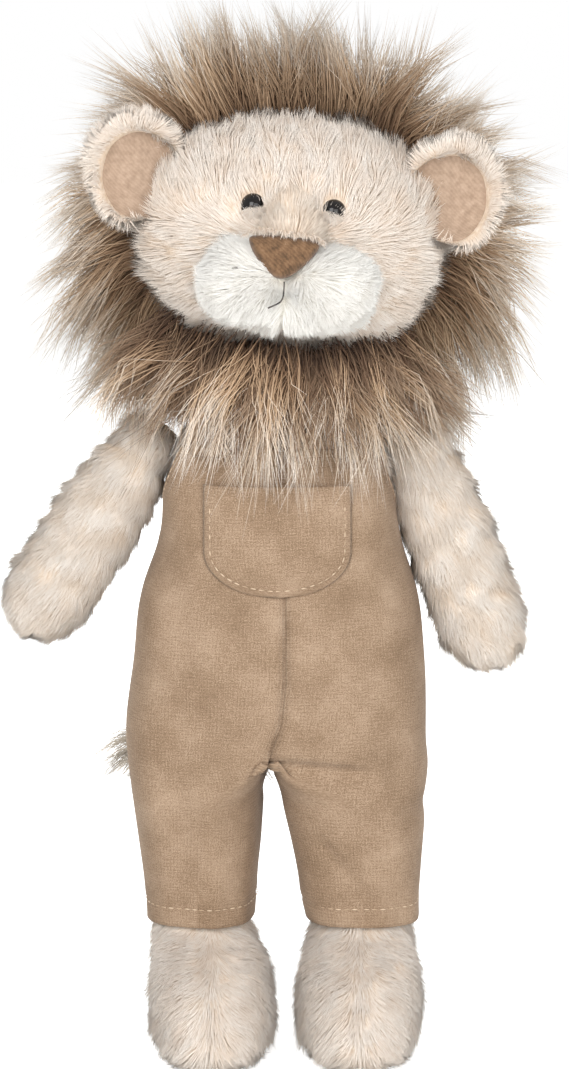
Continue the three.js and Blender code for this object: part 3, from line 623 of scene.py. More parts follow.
def half_head(behind):
    """One half of the head, fuller low on its cheeks, and most on the side that the tilt lowers."""
    bm = orb(HEAD_MIDDLE, HEAD_HALF, around=72, rings=36)
    for vertex in bm.verts:
        away = Vector((vertex.co.x, 0, vertex.co.z - HEAD_MIDDLE[2]))
        below = math.degrees(math.atan2(-away.z, abs(away.x) + 1e-6))
        cheek = 6.5 if away.x > 0 else 4.5
        near = math.exp(-((below - 47) / 21) ** 2 - ((vertex.co.y + 22) / 26) ** 2)
        vertex.co += away.normalized() * cheek * near * min(1.0, away.length / 24)
    cut = bmesh.ops.bisect_plane(
        bm, geom=bm.verts[:] + bm.edges[:] + bm.faces[:], plane_co=(0, FACE_SEAM, 0), plane_no=(0, 1, 0),
        clear_inner=behind, clear_outer=not behind,
    )
    edges = [item for item in cut["geom_cut"] if isinstance(item, bmesh.types.BMEdge)]
    bmesh.ops.holes_fill(bm, edges=edges, sides=0)
    return bm


face = keep("face_backing", half_head(False), beige_backing, "head", ["face_skin"], to_head)
keep("head_back_backing", half_head(True), dark_backing, "head", ["head_back_skin", "head_stuffing"], to_head)


def joined(parts):
    """Several pillow forms grown into one smooth one."""
    bm = bmesh.new()
    for middle, half in parts:
        mesh = bpy.data.meshes.new("part")
        one = orb(middle, half, around=32, rings=16)
        one.to_mesh(mesh)
        one.free()
        bm.from_mesh(mesh)
        bpy.data.meshes.remove(mesh)
    mesh = bpy.data.meshes.new("part")
    bm.to_mesh(mesh)
    piece = bpy.data.objects.new("part", mesh)
    bpy.context.scene.collection.objects.link(piece)
    grown = piece.modifiers.new("grown", "REMESH")
    grown.mode = "VOXEL"
    grown.voxel_size = 1.6
    eased = piece.modifiers.new("eased", "SMOOTH")
    eased.iterations = 6
    result = piece.evaluated_get(bpy.context.evaluated_depsgraph_get())
    bm.clear()
    bm.from_mesh(result.to_mesh())
    bpy.data.objects.remove(piece)
    return bm


muzzle = keep("muzzle_backing", joined(LOBES), white_backing, "head", ["muzzle"], to_head)
bridge = keep("snout_bridge_backing", joined(BRIDGES), beige_backing, "head", ["snout_bridge"], to_head)


def from_head(points):
    return (points - NECK) @ TURN


def inside(points, middle, half, grow=0.0):
    """Which points lie in a pillow form, in places measured along the head."""
    share = np.abs((from_head(points) - middle) / (np.array(half) + grow))
    return (share ** PILLOW).sum(1) < 1


def in_muzzle(points, grow=0.0):
    return np.any([inside(points, m, h, grow) for m, h in LOBES], axis=0)


def in_bridge(points, grow=0.0):
    return np.any([inside(points, m, h, grow) for m, h in BRIDGES], axis=0)


def on_eye(points, low=-2.2):
    """Which points lie on an eye, apart from its lower edge, over which the pile grows."""
    own = from_head(points)
    from_eye = np.hypot(np.abs(own[:, 0]) - EYE_ASIDE, own[:, 2] - EYE_LEVEL)
    return (from_eye < EYE_RADIUS - 0.3) & (own[:, 2] > EYE_LEVEL + low)


def face_comb(points):
    """Away from the bridge of the nose, up over the brow, and out and back over the cheeks."""
    own = from_head(points)
    brow = smooth((own[:, 2] - 50) / 22)
    return rows(own[:, 0] * (1.2 - 0.75 * brow), 8, (own[:, 2] - 52) * 0.9 + 45 * brow) @ TURN.T


def not_face(points):
    behind = from_head(points)[:, 1] > FACE_SEAM + 1
    return in_muzzle(points, -1) | in_bridge(points, -1) | behind | on_eye(points)


plush("face_pile", "head", face, beige_pile, 49500, 11, face_comb, not_face, width=0.445, ahead=0.2)


def bridge_comb(points):
    """Up from the nose, and out to both sides."""
    own = from_head(points)
    return rows(own[:, 0] * 1.5, 2, own[:, 2] - 46) @ TURN.T


def not_bridge(points):
    return inside(points, HEAD_MIDDLE, HEAD_HALF, -1) | in_muzzle(points, -1) | on_eye(points, -6)


# the bridge's pile is darker than the face's, painted shade of the mound
plush("snout_bridge_pile", "head", bridge, shaded_snout_pile, 12000, 13, bridge_comb, not_bridge, length=6.5,
      ahead=0.3)


def muzzle_comb(points):
    """Out from the middle line, up above the mouth and down below it."""
    own = from_head(points)
    side = np.where(own[:, 0] < -1, -1.0, 1.0)
    return rows(side * 6 + own[:, 0] * 0.5, 6, (own[:, 2] - 44) * 0.8) @ TURN.T


def not_muzzle(points):
    own = from_head(points)
    narrow = 11 * np.clip((own[:, 2] - 37) / 14, 0, 1)
    on_nose = (np.abs(own[:, 0] - NOSE_MIDDLE[0]) < narrow) & (own[:, 1] < -60)
    return inside(points, HEAD_MIDDLE, HEAD_HALF, -1) | in_bridge(points, -1) | on_nose


plush("muzzle_pile", "head", muzzle, white_pile, 40000, 17, muzzle_comb, not_muzzle, length=7.0, lift=0.55,
      tuft=0.4, shade=0.7, ahead=0.45)

# Nose

def nose_pad():
    """A rounded triangle of velour over a stuffed pad."""
    outline = [
        (-13.7, 5.8), (-11.8, 7.2), (-4, 7.8), (5, 7.6), (12, 6.8), (13.9, 5.2), (9.9, -1.2), (3.2, -7.5),
        (-0.5, -8.5), (-4, -7.5), (-10.6, -0.8),
    ]
    thick, roll, crown = 6, 2.4, 2.2
    bm = bmesh.new()
    rim = [bm.verts.new((NOSE_MIDDLE[0] + x, NOSE_MIDDLE[1] + thick, NOSE_MIDDLE[2] + z)) for x, z in outline]
    front = bm.faces.new(rim)
    grown = bmesh.ops.extrude_face_region(bm, geom=[front])
    out = [v for v in grown["geom"] if isinstance(v, bmesh.types.BMVert)]
    bmesh.ops.translate(bm, verts=out, vec=(0, -thick, 0))
    cap = [f for f in grown["geom"] if isinstance(f, bmesh.types.BMFace)]
    bmesh.ops.inset_region(bm, faces=cap, thickness=roll)
    bmesh.ops.translate(bm, verts=list({v for f in cap for v in f.verts}), vec=(0, -crown, 0))
    bmesh.ops.triangulate(bm, faces=cap)
    bmesh.ops.recalc_face_normals(bm, faces=bm.faces)
    return bm


nose = keep("nose_pad", nose_pad(), nose_velour, "head", ["nose"], to_head)
rounding = nose.modifiers.new("rounding", "SUBSURF")
rounding.levels = rounding.render_levels = 3


def nose_fringe():
    """Pile of the snout that hangs over the upper edge of the nose."""
    number = int(300 * THIN)
    rng = np.random.default_rng(29)
    x = rng.uniform(-14.5, 14.5, number)
    edge = 8.3 - 0.05 * x - 2.4 * np.clip((np.abs(x) - 10.5) / 4, 0, 1)
    root = rows(x, -1.5 + rng.uniform(0, 3, number), edge + rng.uniform(0, 1.6, number))
    aside = x * 0.06 + rng.normal(size=number) * 0.7
    tip = root + rows(aside, -rng.uniform(0.6, 1.8, number), -rng.uniform(0.4, 2.6, number))
    knee = mix(root, tip, 0.5) + [0, -0.5, 0.3]
    line = np.stack([root, knee, tip], axis=1) + NOSE_MIDDLE
    facing = unit(rows(x / 20, -1, 1.2))
    tone = np.clip(0.2 + rng.normal(size=number) * 0.25, 0, 1)
    widths = 0.38 * rng.uniform(0.75, 1.25, number)
    hairs("snout_fringe_pile", "head", beige_pile, to_head(line), facing @ TURN.T, widths, tone, 0.6)


nose_fringe()

# Eyes, sunk in the pile, and their washers

def eye_lid(word, sign):
    """Pile from below that lies over the lower half of an eye."""
    number = int(620 * THIN)
    rng = np.random.default_rng(19 + sign)
    angle = (rng.uniform(-165, -15, number) - 12 * sign) * math.pi / 180
    reach = rng.uniform(4.0, 6.4, number)
    across, down = np.cos(angle) * reach, np.sin(angle) * reach
    root = rows(across, EYE_DEPTH + 1.0, down)
    lay = rng.uniform(0.05, 0.7, number)
    aside = across * lay + rng.normal(size=number) * 0.7
    tip = rows(aside, EYE_DEPTH - 3.2 - 2.2 * (1 - lay), down * lay + rng.normal(size=number) * 0.5)
    knee = mix(root, tip, 0.35) + [0, -2.4, 0]
    line = np.stack([root, knee, tip], axis=1) + [sign * EYE_ASIDE, 0, EYE_LEVEL]
    facing = unit(rows(across / 5, -1, down / 9))
    tone = np.clip(0.35 + rng.normal(size=number) * 0.3, 0, 1)
    widths = 0.36 * rng.uniform(0.75, 1.25, number)
    hairs(f"eye_{word}_lid_pile", "head", beige_pile, to_head(line), facing @ TURN.T, widths, tone, 0.6)


for word, sign in SIDES:
    ball = orb((sign * EYE_ASIDE, EYE_DEPTH, EYE_LEVEL), [EYE_RADIUS] * 3, 2, 40, 24)
    dome = keep(f"eye_{word}_dome", ball, black_plastic, "head", [f"eye_{word}"], to_head)
    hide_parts(f"eye_washer_{word}")
    eye_lid(word, sign)

# Stitches of the face. The whisker marks are pale grey thread whose grey is painted shade of soft dents in
# the pile.


def strand_tube(name, points, thickness, material, body, replaced=()):
    """A round thread along a line of points in millimetres."""
    line = bpy.data.curves.new(name, "CURVE")
    line.dimensions = "3D"
    line.bevel_depth = thickness / 2000
    line.bevel_resolution = 2
    line.use_fill_caps = True
    path = line.splines.new("NURBS")
    path.points.add(len(points) - 1)
    for point, where in zip(path.points, points):
        point.co = [*(c / 1000 for c in where), 1]
    path.use_endpoint_u = True
    path.order_u = 3
    holder = bpy.data.objects.new(name, line)
    bpy.context.scene.collection.objects.link(holder)
    mesh = bpy.data.meshes.new_from_object(holder.evaluated_get(bpy.context.evaluated_depsgraph_get()))
    bpy.data.objects.remove(holder)
    mesh.name = name
    mesh.materials.clear()
    mesh.materials.append(material)
    shown(name, mesh, body, replaced)


MOUTH = [
    (-1.5, -69.0, 38.5), (-1.3, -69.4, 35.4), (-1.5, -69.5, 32.6), (-2.4, -69.5, 31.0), (-4.4, -69.5, 29.8),
    (-6.6, -69.0, 28.6),
]
WHISKER_DENT_SHADES = [(-19.6, -68.6, 41.8), (-25.2, -66.2, 37.6)]

strand_tube("mouth_stitch", to_head(MOUTH), 0.55, grey_thread, "head", ["mouth_thread"])
# the whisker marks: pale grey thread, painted shade of the dents in the pile
for k, (x, y, z) in enumerate(WHISKER_DENT_SHADES):
    dot = [(x - 0.8, y + 1, z), (x, y, z + 0.5), (x + 0.9, y + 1, z + 0.3)]
    strand_tube(f"whisker_dent_shade_{k + 1}", to_head(dot), 0.7, dent_shade_thread, "head")

# Ears: a plush back with a rounded rim, and a velour lining pressed into it

EAR_SPREAD, EAR_FORWARD, EAR_LEVEL, EAR_TURN, EAR_SUNK, EAR_REACH = 60, 27, 72.6, 15, 11, 20
EAR_BACK, EAR_CUP, EAR_ROLL = 12.0, 8.0, 3.4
EAR_RIM = (16.8, 19.6)
# The lining is a smaller oval, set in towards the head and down
EAR_LINING = (14.2, 15.9)
LINING_IN, LINING_DOWN = 2.2, 2.4
# Shares of the way along the shell at which its back ends and its rolled rim ends
BACK_ENDS, ROLL_ENDS = 0.45, 0.75


def ear_place(sign):
    """Where an ear stands, turned a little outwards, with its inner side sunk into the head."""
    turn = np.array(Matrix.Rotation(math.radians(sign * EAR_TURN), 3, "Z"))

    def into(points):
        own = np.array(points, float)
        own[:, 1] += EAR_SUNK * smooth(-sign * own[:, 0] / EAR_REACH)
        return to_head(own @ turn.T + [sign * EAR_SPREAD, -EAR_FORWARD, EAR_LEVEL])
    return into


def rim_ring(u):
    angle = 2 * math.pi * u
    return EAR_RIM[0] * math.cos(angle), EAR_RIM[1] * math.sin(angle)


def lining_ring(sign, u):
    angle = 2 * math.pi * u
    return (
        EAR_LINING[0] * math.cos(angle) - sign * LINING_IN,
        EAR_LINING[1] * math.sin(angle) - LINING_DOWN,
    )


def ear_back(sign):
    """From the middle of the back to the rim, over its roll, and down into the cup in front."""
    def place(u, v):
        out_x, out_z = rim_ring(u)
        in_x, in_z = lining_ring(sign, u)
        if v < BACK_ENDS:
            bend = math.pi / 2 * v / BACK_ENDS
            return out_x * math.sin(bend), EAR_BACK * math.cos(bend), out_z * math.sin(bend)
        if v < ROLL_ENDS:
            bend = math.pi * (v - BACK_ENDS) / (ROLL_ENDS - BACK_ENDS)
            share = (1 - math.cos(bend)) / 2
            return mix(out_x, in_x, share), -EAR_ROLL * math.sin(bend), mix(out_z, in_z, share)
        bend = math.pi / 2 * (v - ROLL_ENDS) / (1 - ROLL_ENDS)
        share = math.cos(bend)
        return mix(-sign * LINING_IN, in_x, share), EAR_CUP * math.sin(bend), mix(-LINING_DOWN, in_z, share)
    return place


def ear_comb(sign):
    """Out from the middle of the ear, but inwards where the rim rolls down to the lining."""
    middle = ear_place(sign)([(0, 0, 0)])[0]

    def comb(points):
        own = points - middle
        shift = TURN @ [-sign * LINING_IN, 0, -LINING_DOWN]
        near = np.hypot(*((own - shift)[:, [0, 2]] / EAR_LINING).T)
        turn = 1 - 1.14 * smooth((1.12 - near) / 0.08)
        return own * [1, 0.2, 1] * turn[:, None] + [0, -3, 0]
    return comb


def in_cup(sign):
    """Where an ear has no pile: in its cup, which the lining covers, and inside the head."""
    place = ear_place(sign)
    middle = place([(0, 0, 0)])[0]
    ahead = place([(0, -1, 0)])[0] - middle

    def leave(points):
        own = points - middle
        flat = own - np.outer(own @ ahead, ahead)
        shift = TURN @ [-sign * LINING_IN, 0, -LINING_DOWN]
        near = np.linalg.norm((flat - shift) / [EAR_LINING[0], 16, EAR_LINING[1]], axis=1) < 1.02
        return (near & ((own @ ahead) > -9)) | inside(points, HEAD_MIDDLE, HEAD_HALF, 0)
    return leave


def lining(sign):
    """A shallow bowl of velour, puckered where its edge is sewn in, and drawn up to the rim at the top."""
    def place(u, v):
        in_x, in_z = lining_ring(sign, u)
        sag = (EAR_CUP - 2.5) * math.sqrt(max(0.0, 1 - (v * 0.97) ** 2.4))
        pucker = 0.35 * math.sin(7 * 2 * math.pi * u) * v ** 3
        up = v * (1.04 + 0.1 * max(0.0, math.sin(2 * math.pi * u)))
        return (
            mix(-sign * LINING_IN, in_x, v * 1.14),
            sag - 0.9 - 1.9 * v * v + pucker,
            mix(-LINING_DOWN, in_z, up),
        )
    return place


for word, sign in SIDES:
    body, into = f"ear_{word}", ear_place(sign)
    back = keep(f"ear_{word}_shell", moulded(48, 44, ear_back(sign)), beige_backing, body,
                [f"ear_{word}_back"], into)
    plush(f"ear_{word}_pile", body, back, beige_pile, 26000, 23 + sign, ear_comb(sign), in_cup(sign),
          length=5.8, ahead=0.3)
    cup = keep(f"ear_{word}_velour", moulded(48, 16, lining(sign)), ear_velour, body,
               [f"ear_{word}_lining"], into)
    walled(cup, 1.2, 0)

# Mane and beard: locks of long hair

# How far the mane reaches out, at shares of the way to its back
MANE_SHARES = [(0, 0.8), (0.06, 0.97), (0.22, 0.99), (0.5, 0.86), (0.8, 0.62), (1, 0.28)]
MANE_LEFT, MANE_RIGHT, MANE_ABOVE, MANE_BELOW, MANE_LEVEL, MANE_BACK = 107, 100, 88, 78, 52, 76
BEARD_HALF = 47
# Locks follow each other round the head by this share of a turn, which spreads them evenly
GOLDEN = 0.618034
# How far the roots of a lock's hairs lie from its middle
LOCK_SPREAD = 3.4


def head_skin(angle, tilt):
    """Places of the head at an angle round the face and a tilt back from its widest ring, with normals."""
    way = rows(np.cos(angle) * np.cos(tilt), np.sin(tilt), np.sin(angle) * np.cos(tilt))
    own = way * (np.abs(way) ** PILLOW).sum(1, keepdims=True) ** (-1 / PILLOW) * HEAD_HALF
    normal = unit(np.sign(own) * (np.abs(own) / HEAD_HALF) ** (PILLOW - 1) / HEAD_HALF)
    return own + HEAD_MIDDLE, normal


def mane_tip(angle, way_back):
    """Where a lock ends: a rounded outline, wider low at the sides, that closes towards the head's back."""
    share = np.interp(way_back, *zip(*MANE_SHARES))
    c, s = np.cos(angle), np.sin(angle)
    high = np.where(s > 0, MANE_ABOVE, MANE_BELOW)
    wide = np.where(c > 0, MANE_LEFT, MANE_RIGHT)
    squareness = 2.3
    reach = (np.abs(c / wide) ** squareness + np.abs(s / high) ** squareness) ** (-1 / squareness) * share
    reach = reach * (1 + 0.24 * np.exp(-((s + 0.72) / 0.26) ** 2))
    return rows(c * reach, FACE_SEAM + MANE_BACK * way_back, s * reach + MANE_LEVEL)


def mane_layer(name, number, seed, low, high, each, lift, bright):
    """A band of locks that leave the head between two shares of the way to its back and lift off it first."""
    rng = np.random.default_rng(seed)
    angle = 2 * math.pi * (np.arange(number) * GOLDEN + rng.uniform(-0.1, 0.1, number) / 9)
    back = np.sqrt(rng.uniform(low * low, high * high, number))
    own, normal = head_skin(angle, back * math.pi / 2 - 0.12)
    drift = 0.12 * np.sin(5 * angle + 1.0) + 0.08 * np.sin(11 * angle + seed) + rng.normal(size=number) * 0.08
    droop = -0.32 * np.cos(angle) * np.exp(-((np.sin(angle) + 0.1) / 0.5) ** 2)
    way_back = np.clip(0.1 + 0.9 * back + rng.normal(size=number) * 0.04, 0, 1)
    ends = mane_tip(angle + (drift + droop) * (1 - back), way_back)
    # one lock in six passes the outline, and the others fall short of it
    wisp = rng.random(number) < 0.16
    past, short = rng.uniform(1.0, 1.14, number), rng.uniform(0.7, 0.97, number)
    far = np.where(wisp, past, short) * (1 + 0.09 * np.abs(np.sin(angle)))
    ends = own + (ends - own) * far[:, None]
    ends[:, 0] -= 9 * np.clip(np.sin(angle), 0, 1) ** 2 * (1 - back)
    ends[:, 2] -= 3 * np.cos(angle) ** 2 * (1 - back) + 8 * back
    under = smooth(-1.6 * np.sin(angle))[:, None]
    ends[:, 1] += 7 * under[:, 0]
    span = np.linalg.norm(ends - own, axis=1, keepdims=True)
    ahead = np.array([0, -1, 0]) * (0.5 - back[:, None]) * (1 - under)
    knees = own + span * lift * unit(normal + ahead * 0.8)
    towards = np.array([0, -0.55, 0]) * np.cos(angle)[:, None] ** 2
    facing = unit(normal + 0.7 * ahead + 0.2 * unit(ends - own) + towards)
    locks(name, "head", mane_pile, to_head(own), to_head(knees), to_head(ends), facing @ TURN.T, each,
          LOCK_SPREAD, seed + 5, ["mane"], bright=bright)


mane_layer("mane_front_locks", 150, 31, 0.0, 0.16, 56, 0.45, 0.55)
mane_layer("mane_rim_locks", 150, 32, 0.08, 0.35, 52, 0.5, 0.45)
mane_layer("mane_crown_locks", 165, 33, 0.3, 0.66, 52, 0.5, 0.45)
mane_layer("mane_nape_locks", 150, 34, 0.6, 1.0, 52, 0.45, 0.42)


def beard_layer(name, number, seed, material, each, long, bright, width, sway=0.09, gather=0.86, wild=8):
    """Locks from under the chin that fall over the bib and fan a little, the deep ones short."""
    rng = np.random.default_rng(seed)
    x = rng.uniform(-BEARD_HALF, BEARD_HALF, number)
    sides = np.abs(x) / BEARD_HALF
    away = -37 + 24 * sides ** 2 + rng.uniform(-4, 4, number)
    own = rows(x, away, rng.uniform(-6, 9, number) + 9 * sides ** 2)
    fan = x * (0.18 + 0.34 * sides) + rng.normal(size=number) * wild
    down = rng.uniform(*long, number) - 4 * sides
    ends = own + rows(fan, -9 + 6 * sides + 2.5 * rng.normal(size=number), -down)
    knees = own + rows(fan * 0.6, -14 + 6 * sides, -9)
    facing = unit(rows(x / 60, -1, 0.1))
    locks(name, "head", material, to_head(own), to_head(knees), to_head(ends), facing @ TURN.T, each,
          LOCK_SPREAD, seed + 1, ["beard"], bright=bright, vary=0.8, stray=0.07, sway=sway, width=width,
          gather=gather)


# the under locks' dark brown is painted shade deep in the beard
beard_layer("beard_under_locks", 110, 41, dark_hair_and_shade_pile, 44, (24, 38), 0.4, 0.5)
beard_layer("beard_over_locks", 56, 45, mane_pile, 36, (34, 52), 0.6, 0.42, sway=0.13, gather=0.92, wild=11)
beard_layer("beard_stray_hairs", 34, 47, dark_hair_and_shade_pile, 7, (46, 68), 0.2, 0.34, sway=0.12, gather=0.5,
            wild=15)

# Body: only the shoulders, the chest above the bib and the nape show

# Shares of the trunk's height, width and depth over its overalls, from the crotch to the neck
TRUNK = [
    (0, 0.9, 0.8), (0.07, 0.975, 0.92), (0.2, 1, 0.99), (0.338, 0.983, 1), (0.479, 0.93, 0.987),
    (0.62, 0.826, 0.947), (0.725, 0.757, 0.895), (0.85, 0.73, 0.78), (0.93, 0.64, 0.63), (1, 0.3, 0.32),
]
CROTCH, TRUNK_TALL, TRUNK_WIDTH, TRUNK_DEPTH, TRUNK_FORWARD = 112, 142, 115, 76, 2
SEAT = CROTCH + 0.2 * TRUNK_TALL
BIB_TOP, BACK_TOP = 238, 226
# The armhole seen from the side: an oval of this half width round this height, and so deep below it, in a
# trunk of this half depth
ARMHOLE_HALF, ARMHOLE_LEVEL, ARMHOLE_DEEP, TRUNK_THICK = 17, 236, 18, 32
STRAP_ASIDE, STRAP_WIDTH = 27, 13
CHEST_BOTTOM = 196
# How far a backing lies inside the piece's own outline, to leave room for its pile
PILE = 3.0


def trunk_at(height, inset=0.0):
    """Half width and half depth of the trunk over its overalls at a height."""
    wide, deep = between(TRUNK, max(0.0, min(1.0, (height - CROTCH) / TRUNK_TALL)))
    return TRUNK_WIDTH / 2 * wide - inset, TRUNK_DEPTH / 2 * deep - inset


def torso_point(u, v):
    """From under the bib's top up to the neck, closed over the last tenth of the way."""
    height = mix(CHEST_BOTTOM, CROTCH + TRUNK_TALL - 1, min(v / 0.9, 1))
    wide, deep = trunk_at(height, PILE)
    share = 1 if v <= 0.9 else max(0.0, 1 - (v - 0.9) / 0.1)
    across, along = rounded(2 * math.pi * u, 2.6)
    return wide * share * across, deep * share * along - TRUNK_FORWARD, height


torso = keep("torso_backing", moulded(56, 30, torso_point), beige_backing, "torso",
             ["body_skin", "body_stuffing", "pellet_bag"], to_body)


def torso_comb(points):
    return rows(points[:, 0] * 0.02, 0, -1)


def under_cloth(points):
    """Where bib, back and straps cover the trunk, and just above them, apart from the armholes."""
    x, y, z = (points - [PLAN_X, PLAN_Y, 0]).T
    from_arm = np.hypot((y + TRUNK_FORWARD) / ARMHOLE_HALF, (z - ARMHOLE_LEVEL) / ARMHOLE_DEEP)
    covered = (from_arm > 0.82) | (np.abs(x) < 30)
    top = np.where(y < -TRUNK_FORWARD, BIB_TOP, BACK_TOP)
    strap = (np.abs(np.abs(x) - STRAP_ASIDE) < STRAP_WIDTH / 2) & (z > 215)
    return ((z < top + 3.5) & covered) | strap


plush("torso_pile", "torso", torso, beige_pile, 30000, 51, torso_comb, under_cloth, length=7.0)

# Arms

# Shares of an arm's length, width and depth, from the shoulder to the hand
ARM = [
    (0, 0.74, 0.62), (0.06, 0.84, 0.72), (0.135, 0.9, 0.78), (0.315, 1.0, 0.86), (0.5, 1.03, 0.92),
    (0.68, 1.02, 0.98), (0.79, 1.02, 1), (0.9, 0.87, 0.86), (0.965, 0.58, 0.56), (1, 0.1, 0.1),
]
ARM_LENGTH, ARM_WIDTH, ARM_DEPTH, SHOULDER_HEIGHT, SHOULDER_REACH = 89, 36.4, 32, 235, 51.974
# The arm starts in a dome that is this share of its width, over the first part of the way along its skin
DOME_WIDTH, DOME_ENDS = 0.76, 0.15


def arm_place(sign, splay):
    """Where an arm hangs, splayed out from its shoulder by so many degrees."""
    turn = np.array(Matrix.Rotation(math.radians(-sign * splay), 3, "Y"))

    def into(points):
        return to_body(np.asarray(points, float) @ turn.T + [sign * SHOULDER_REACH, 0, SHOULDER_HEIGHT])
    return into


def arm_form(u, v):
    across, along = rounded(2 * math.pi * u, 2.2)
    if v < DOME_ENDS:
        bend = math.pi / 2 * v / DOME_ENDS
        top = ARM_WIDTH * DOME_WIDTH / 2 - PILE
        return top * math.sin(bend) * across, top * math.sin(bend) * along, top * math.cos(bend)
    level = (v - DOME_ENDS) / (1 - DOME_ENDS)
    wide, deep = between(ARM, level)
    if level < 0.06:
        wide = deep = DOME_WIDTH
    close = 1 if level < 0.97 else max(0, (1 - level) / 0.03)
    return (
        (ARM_WIDTH * wide / 2 - PILE) * across * close,
        (ARM_DEPTH * deep / 2 - PILE) * along * close,
        -level * (ARM_LENGTH - PILE),
    )


def arm_point(longer):
    """The form of an arm that is longer than the plain one by so many millimetres."""
    def place(u, v):
        x, y, z = arm_form(u, v)
        return x, y, z * (1 + longer / ARM_LENGTH)
    return place


def arm_comb(sign, splay):
    """Down along the arm, and a little outwards."""
    place = arm_place(sign, splay)
    down = place([(0, 0, -1)])[0] - place([(0, 0, 0)])[0]
    return lambda points: np.broadcast_to(down + [sign * 0.15, 0, 0], points.shape)


for (word, sign), splay, longer in zip(SIDES, (33.4, 20.9), (1, 6)):
    arm = keep(f"arm_{word}_backing", moulded(44, 60, arm_point(longer)), beige_backing, f"arm_{word}",
               [f"arm_{word}_skin", f"arm_{word}_stuffing", f"shoulder_wad_{word}"], arm_place(sign, splay))
    plush(f"arm_{word}_pile", f"arm_{word}", arm, limb_pile, 40000, 61 + sign, arm_comb(sign, splay), no_bare,
          lift=0.26, tuft=0.25, patch=0.24)

# Legs and feet

# Shares of the height to the hem, of the foot's width and length, and of its way back from toes to ankle
FOOT = [
    (0, 0.6, 0.66, 0), (0.07, 0.84, 0.87, 0), (0.22, 1, 1, 0), (0.47, 1, 0.96, 0.08), (0.7, 0.93, 0.82, 0.3),
    (0.88, 0.83, 0.66, 0.72), (1.0, 0.78, 0.6, 0.98), (1.25, 0.78, 0.6, 1),
]
HEM, FOOT_WIDTH, FOOT_LENGTH, FOOT_FORWARD, HIP_FORWARD = 51, 50, 79, 25, 3
FOOT_MIDDLE, FOOT_SHIFT, HEM_MIDDLE = 28.3, 2, 32.2
# The sole lies this high, and the skin goes on under the hem to this share of the hem's height. Both ends are
# closed over this share of the skin's rings.
SOLE, LEG_TOP, FOOT_CLOSE = 1.6, 1.2, 0.12


def foot_point(sign):
    """From the middle of the sole up to the leg's end inside the trouser, with a seam down the front."""
    def place(u, v):
        across, along = rounded(2 * math.pi * u, 2.3)
        level = LEG_TOP * max(0.0, min(1.0, (v - FOOT_CLOSE) / (1 - 2 * FOOT_CLOSE)))
        share = min(1.0, v / FOOT_CLOSE, (1 - v) / FOOT_CLOSE)
        wide, long, way = between(FOOT, level)
        x = mix(sign * FOOT_MIDDLE + FOOT_SHIFT, sign * HEM_MIDDLE, way)
        y = mix(-FOOT_FORWARD, -HIP_FORWARD, way)
        seam = 1.6 * bell(across * wide * FOOT_WIDTH / 2, 1.8) * (along < 0)
        return (
            x + share * (wide * FOOT_WIDTH / 2 - PILE) * across,
            y + share * (long * FOOT_LENGTH / 2 - PILE - seam) * along,
            mix(SOLE, HEM, level),
        )
    return place


def foot_comb(sign):
    """Down, and away from the seam along the front."""
    middle = to_body([(sign * FOOT_MIDDLE + FOOT_SHIFT, 0, 0)])[0][0]

    def comb(points):
        side = np.clip((points[:, 0] - middle) / 5, -1, 1)
        front = np.clip((-points[:, 1] - 5) / 30, 0, 1)
        return rows(side * (0.35 + 0.5 * front), -0.4 * front, -0.9)
    return comb


def sole_comb(points):
    return np.broadcast_to([0.1, 1.0, 0.0], points.shape)


def not_sole(points):
    return points[:, 2] > SOLE + 0.3


def not_foot(points):
    return (points[:, 2] > HEM + 5) | (points[:, 2] < SOLE + 0.2)


for word, sign in SIDES:
    body = f"leg_{word}"
    foot = keep(f"foot_{word}_backing", moulded(56, 56, foot_point(sign)), beige_backing, body,
                [f"leg_{word}_skin", f"leg_{word}_stuffing", f"foot_{word}_pellets"], to_body)
    plush(f"foot_{word}_pile", body, foot, beige_pile, 45000, 71 + sign, foot_comb(sign), not_foot, lift=0.26,
          tuft=0.2)
    plush(f"sole_{word}_pile", body, foot, limb_pile, 60000, 75 + sign, sole_comb, not_sole, length=4.5,
          lift=0.1, tuft=0.06)

# Overalls: each half is one cloth from its trouser hem to the bib and the back, sewn to the other half at the
# middle. Along it, u runs from the front seam round the outer side to the back seam, and on over the inner
# side of the leg.

HIP, HIP_RADIUS, LEG_MIDDLE, LEG_WIDTH = 122, 31, 30.5, 54.4
# Shares of the height from the hem to the hip, and of the change from the one ring to the other
TROUSER = [(0, 0), (0.155, 0.22), (0.465, 0.6), (0.69, 0.88), (1, 1)]
HEM_WIDTH, HEM_DEPTH = 46.6, 54.4
# The share of a half's way round that lies outside, and how square the trunk and the legs are
OUTER, TRUNK_SQUARE, LEG_SQUARE = 0.72, 2.8, 2.9
# Heights between which the two legs grow into one body, and above which the inner side's cloth is cut away
LEGS_PART, BODY_WHOLE, INNER_CUT = 98, 122, 118


def leg_ring(height):
    """Middle, half width and half depth of a trouser leg at a height."""
    change = between(TROUSER, max(0.0, (height - HEM) / (HIP - HEM)))[0]
    return (mix(HEM_MIDDLE, LEG_MIDDLE, change), mix(HEM_WIDTH, LEG_WIDTH, change) / 2,
            mix(HEM_DEPTH, 2 * HIP_RADIUS, change) / 2)


def top_edge(u):
    """Height of the cloth's upper edge round the body: bib, armhole, back."""
    if u >= OUTER:
        return BIB_TOP if u > (1 + OUTER) / 2 else BACK_TOP
    along = rounded(math.pi * (u / OUTER - 0.5), TRUNK_SQUARE)[1]
    top = BIB_TOP if along < 0 else BACK_TOP
    share = TRUNK_THICK * along / ARMHOLE_HALF
    if abs(share) >= 1:
        return top
    return min(top, ARMHOLE_LEVEL - ARMHOLE_DEEP * math.sqrt(1 - share ** 2))


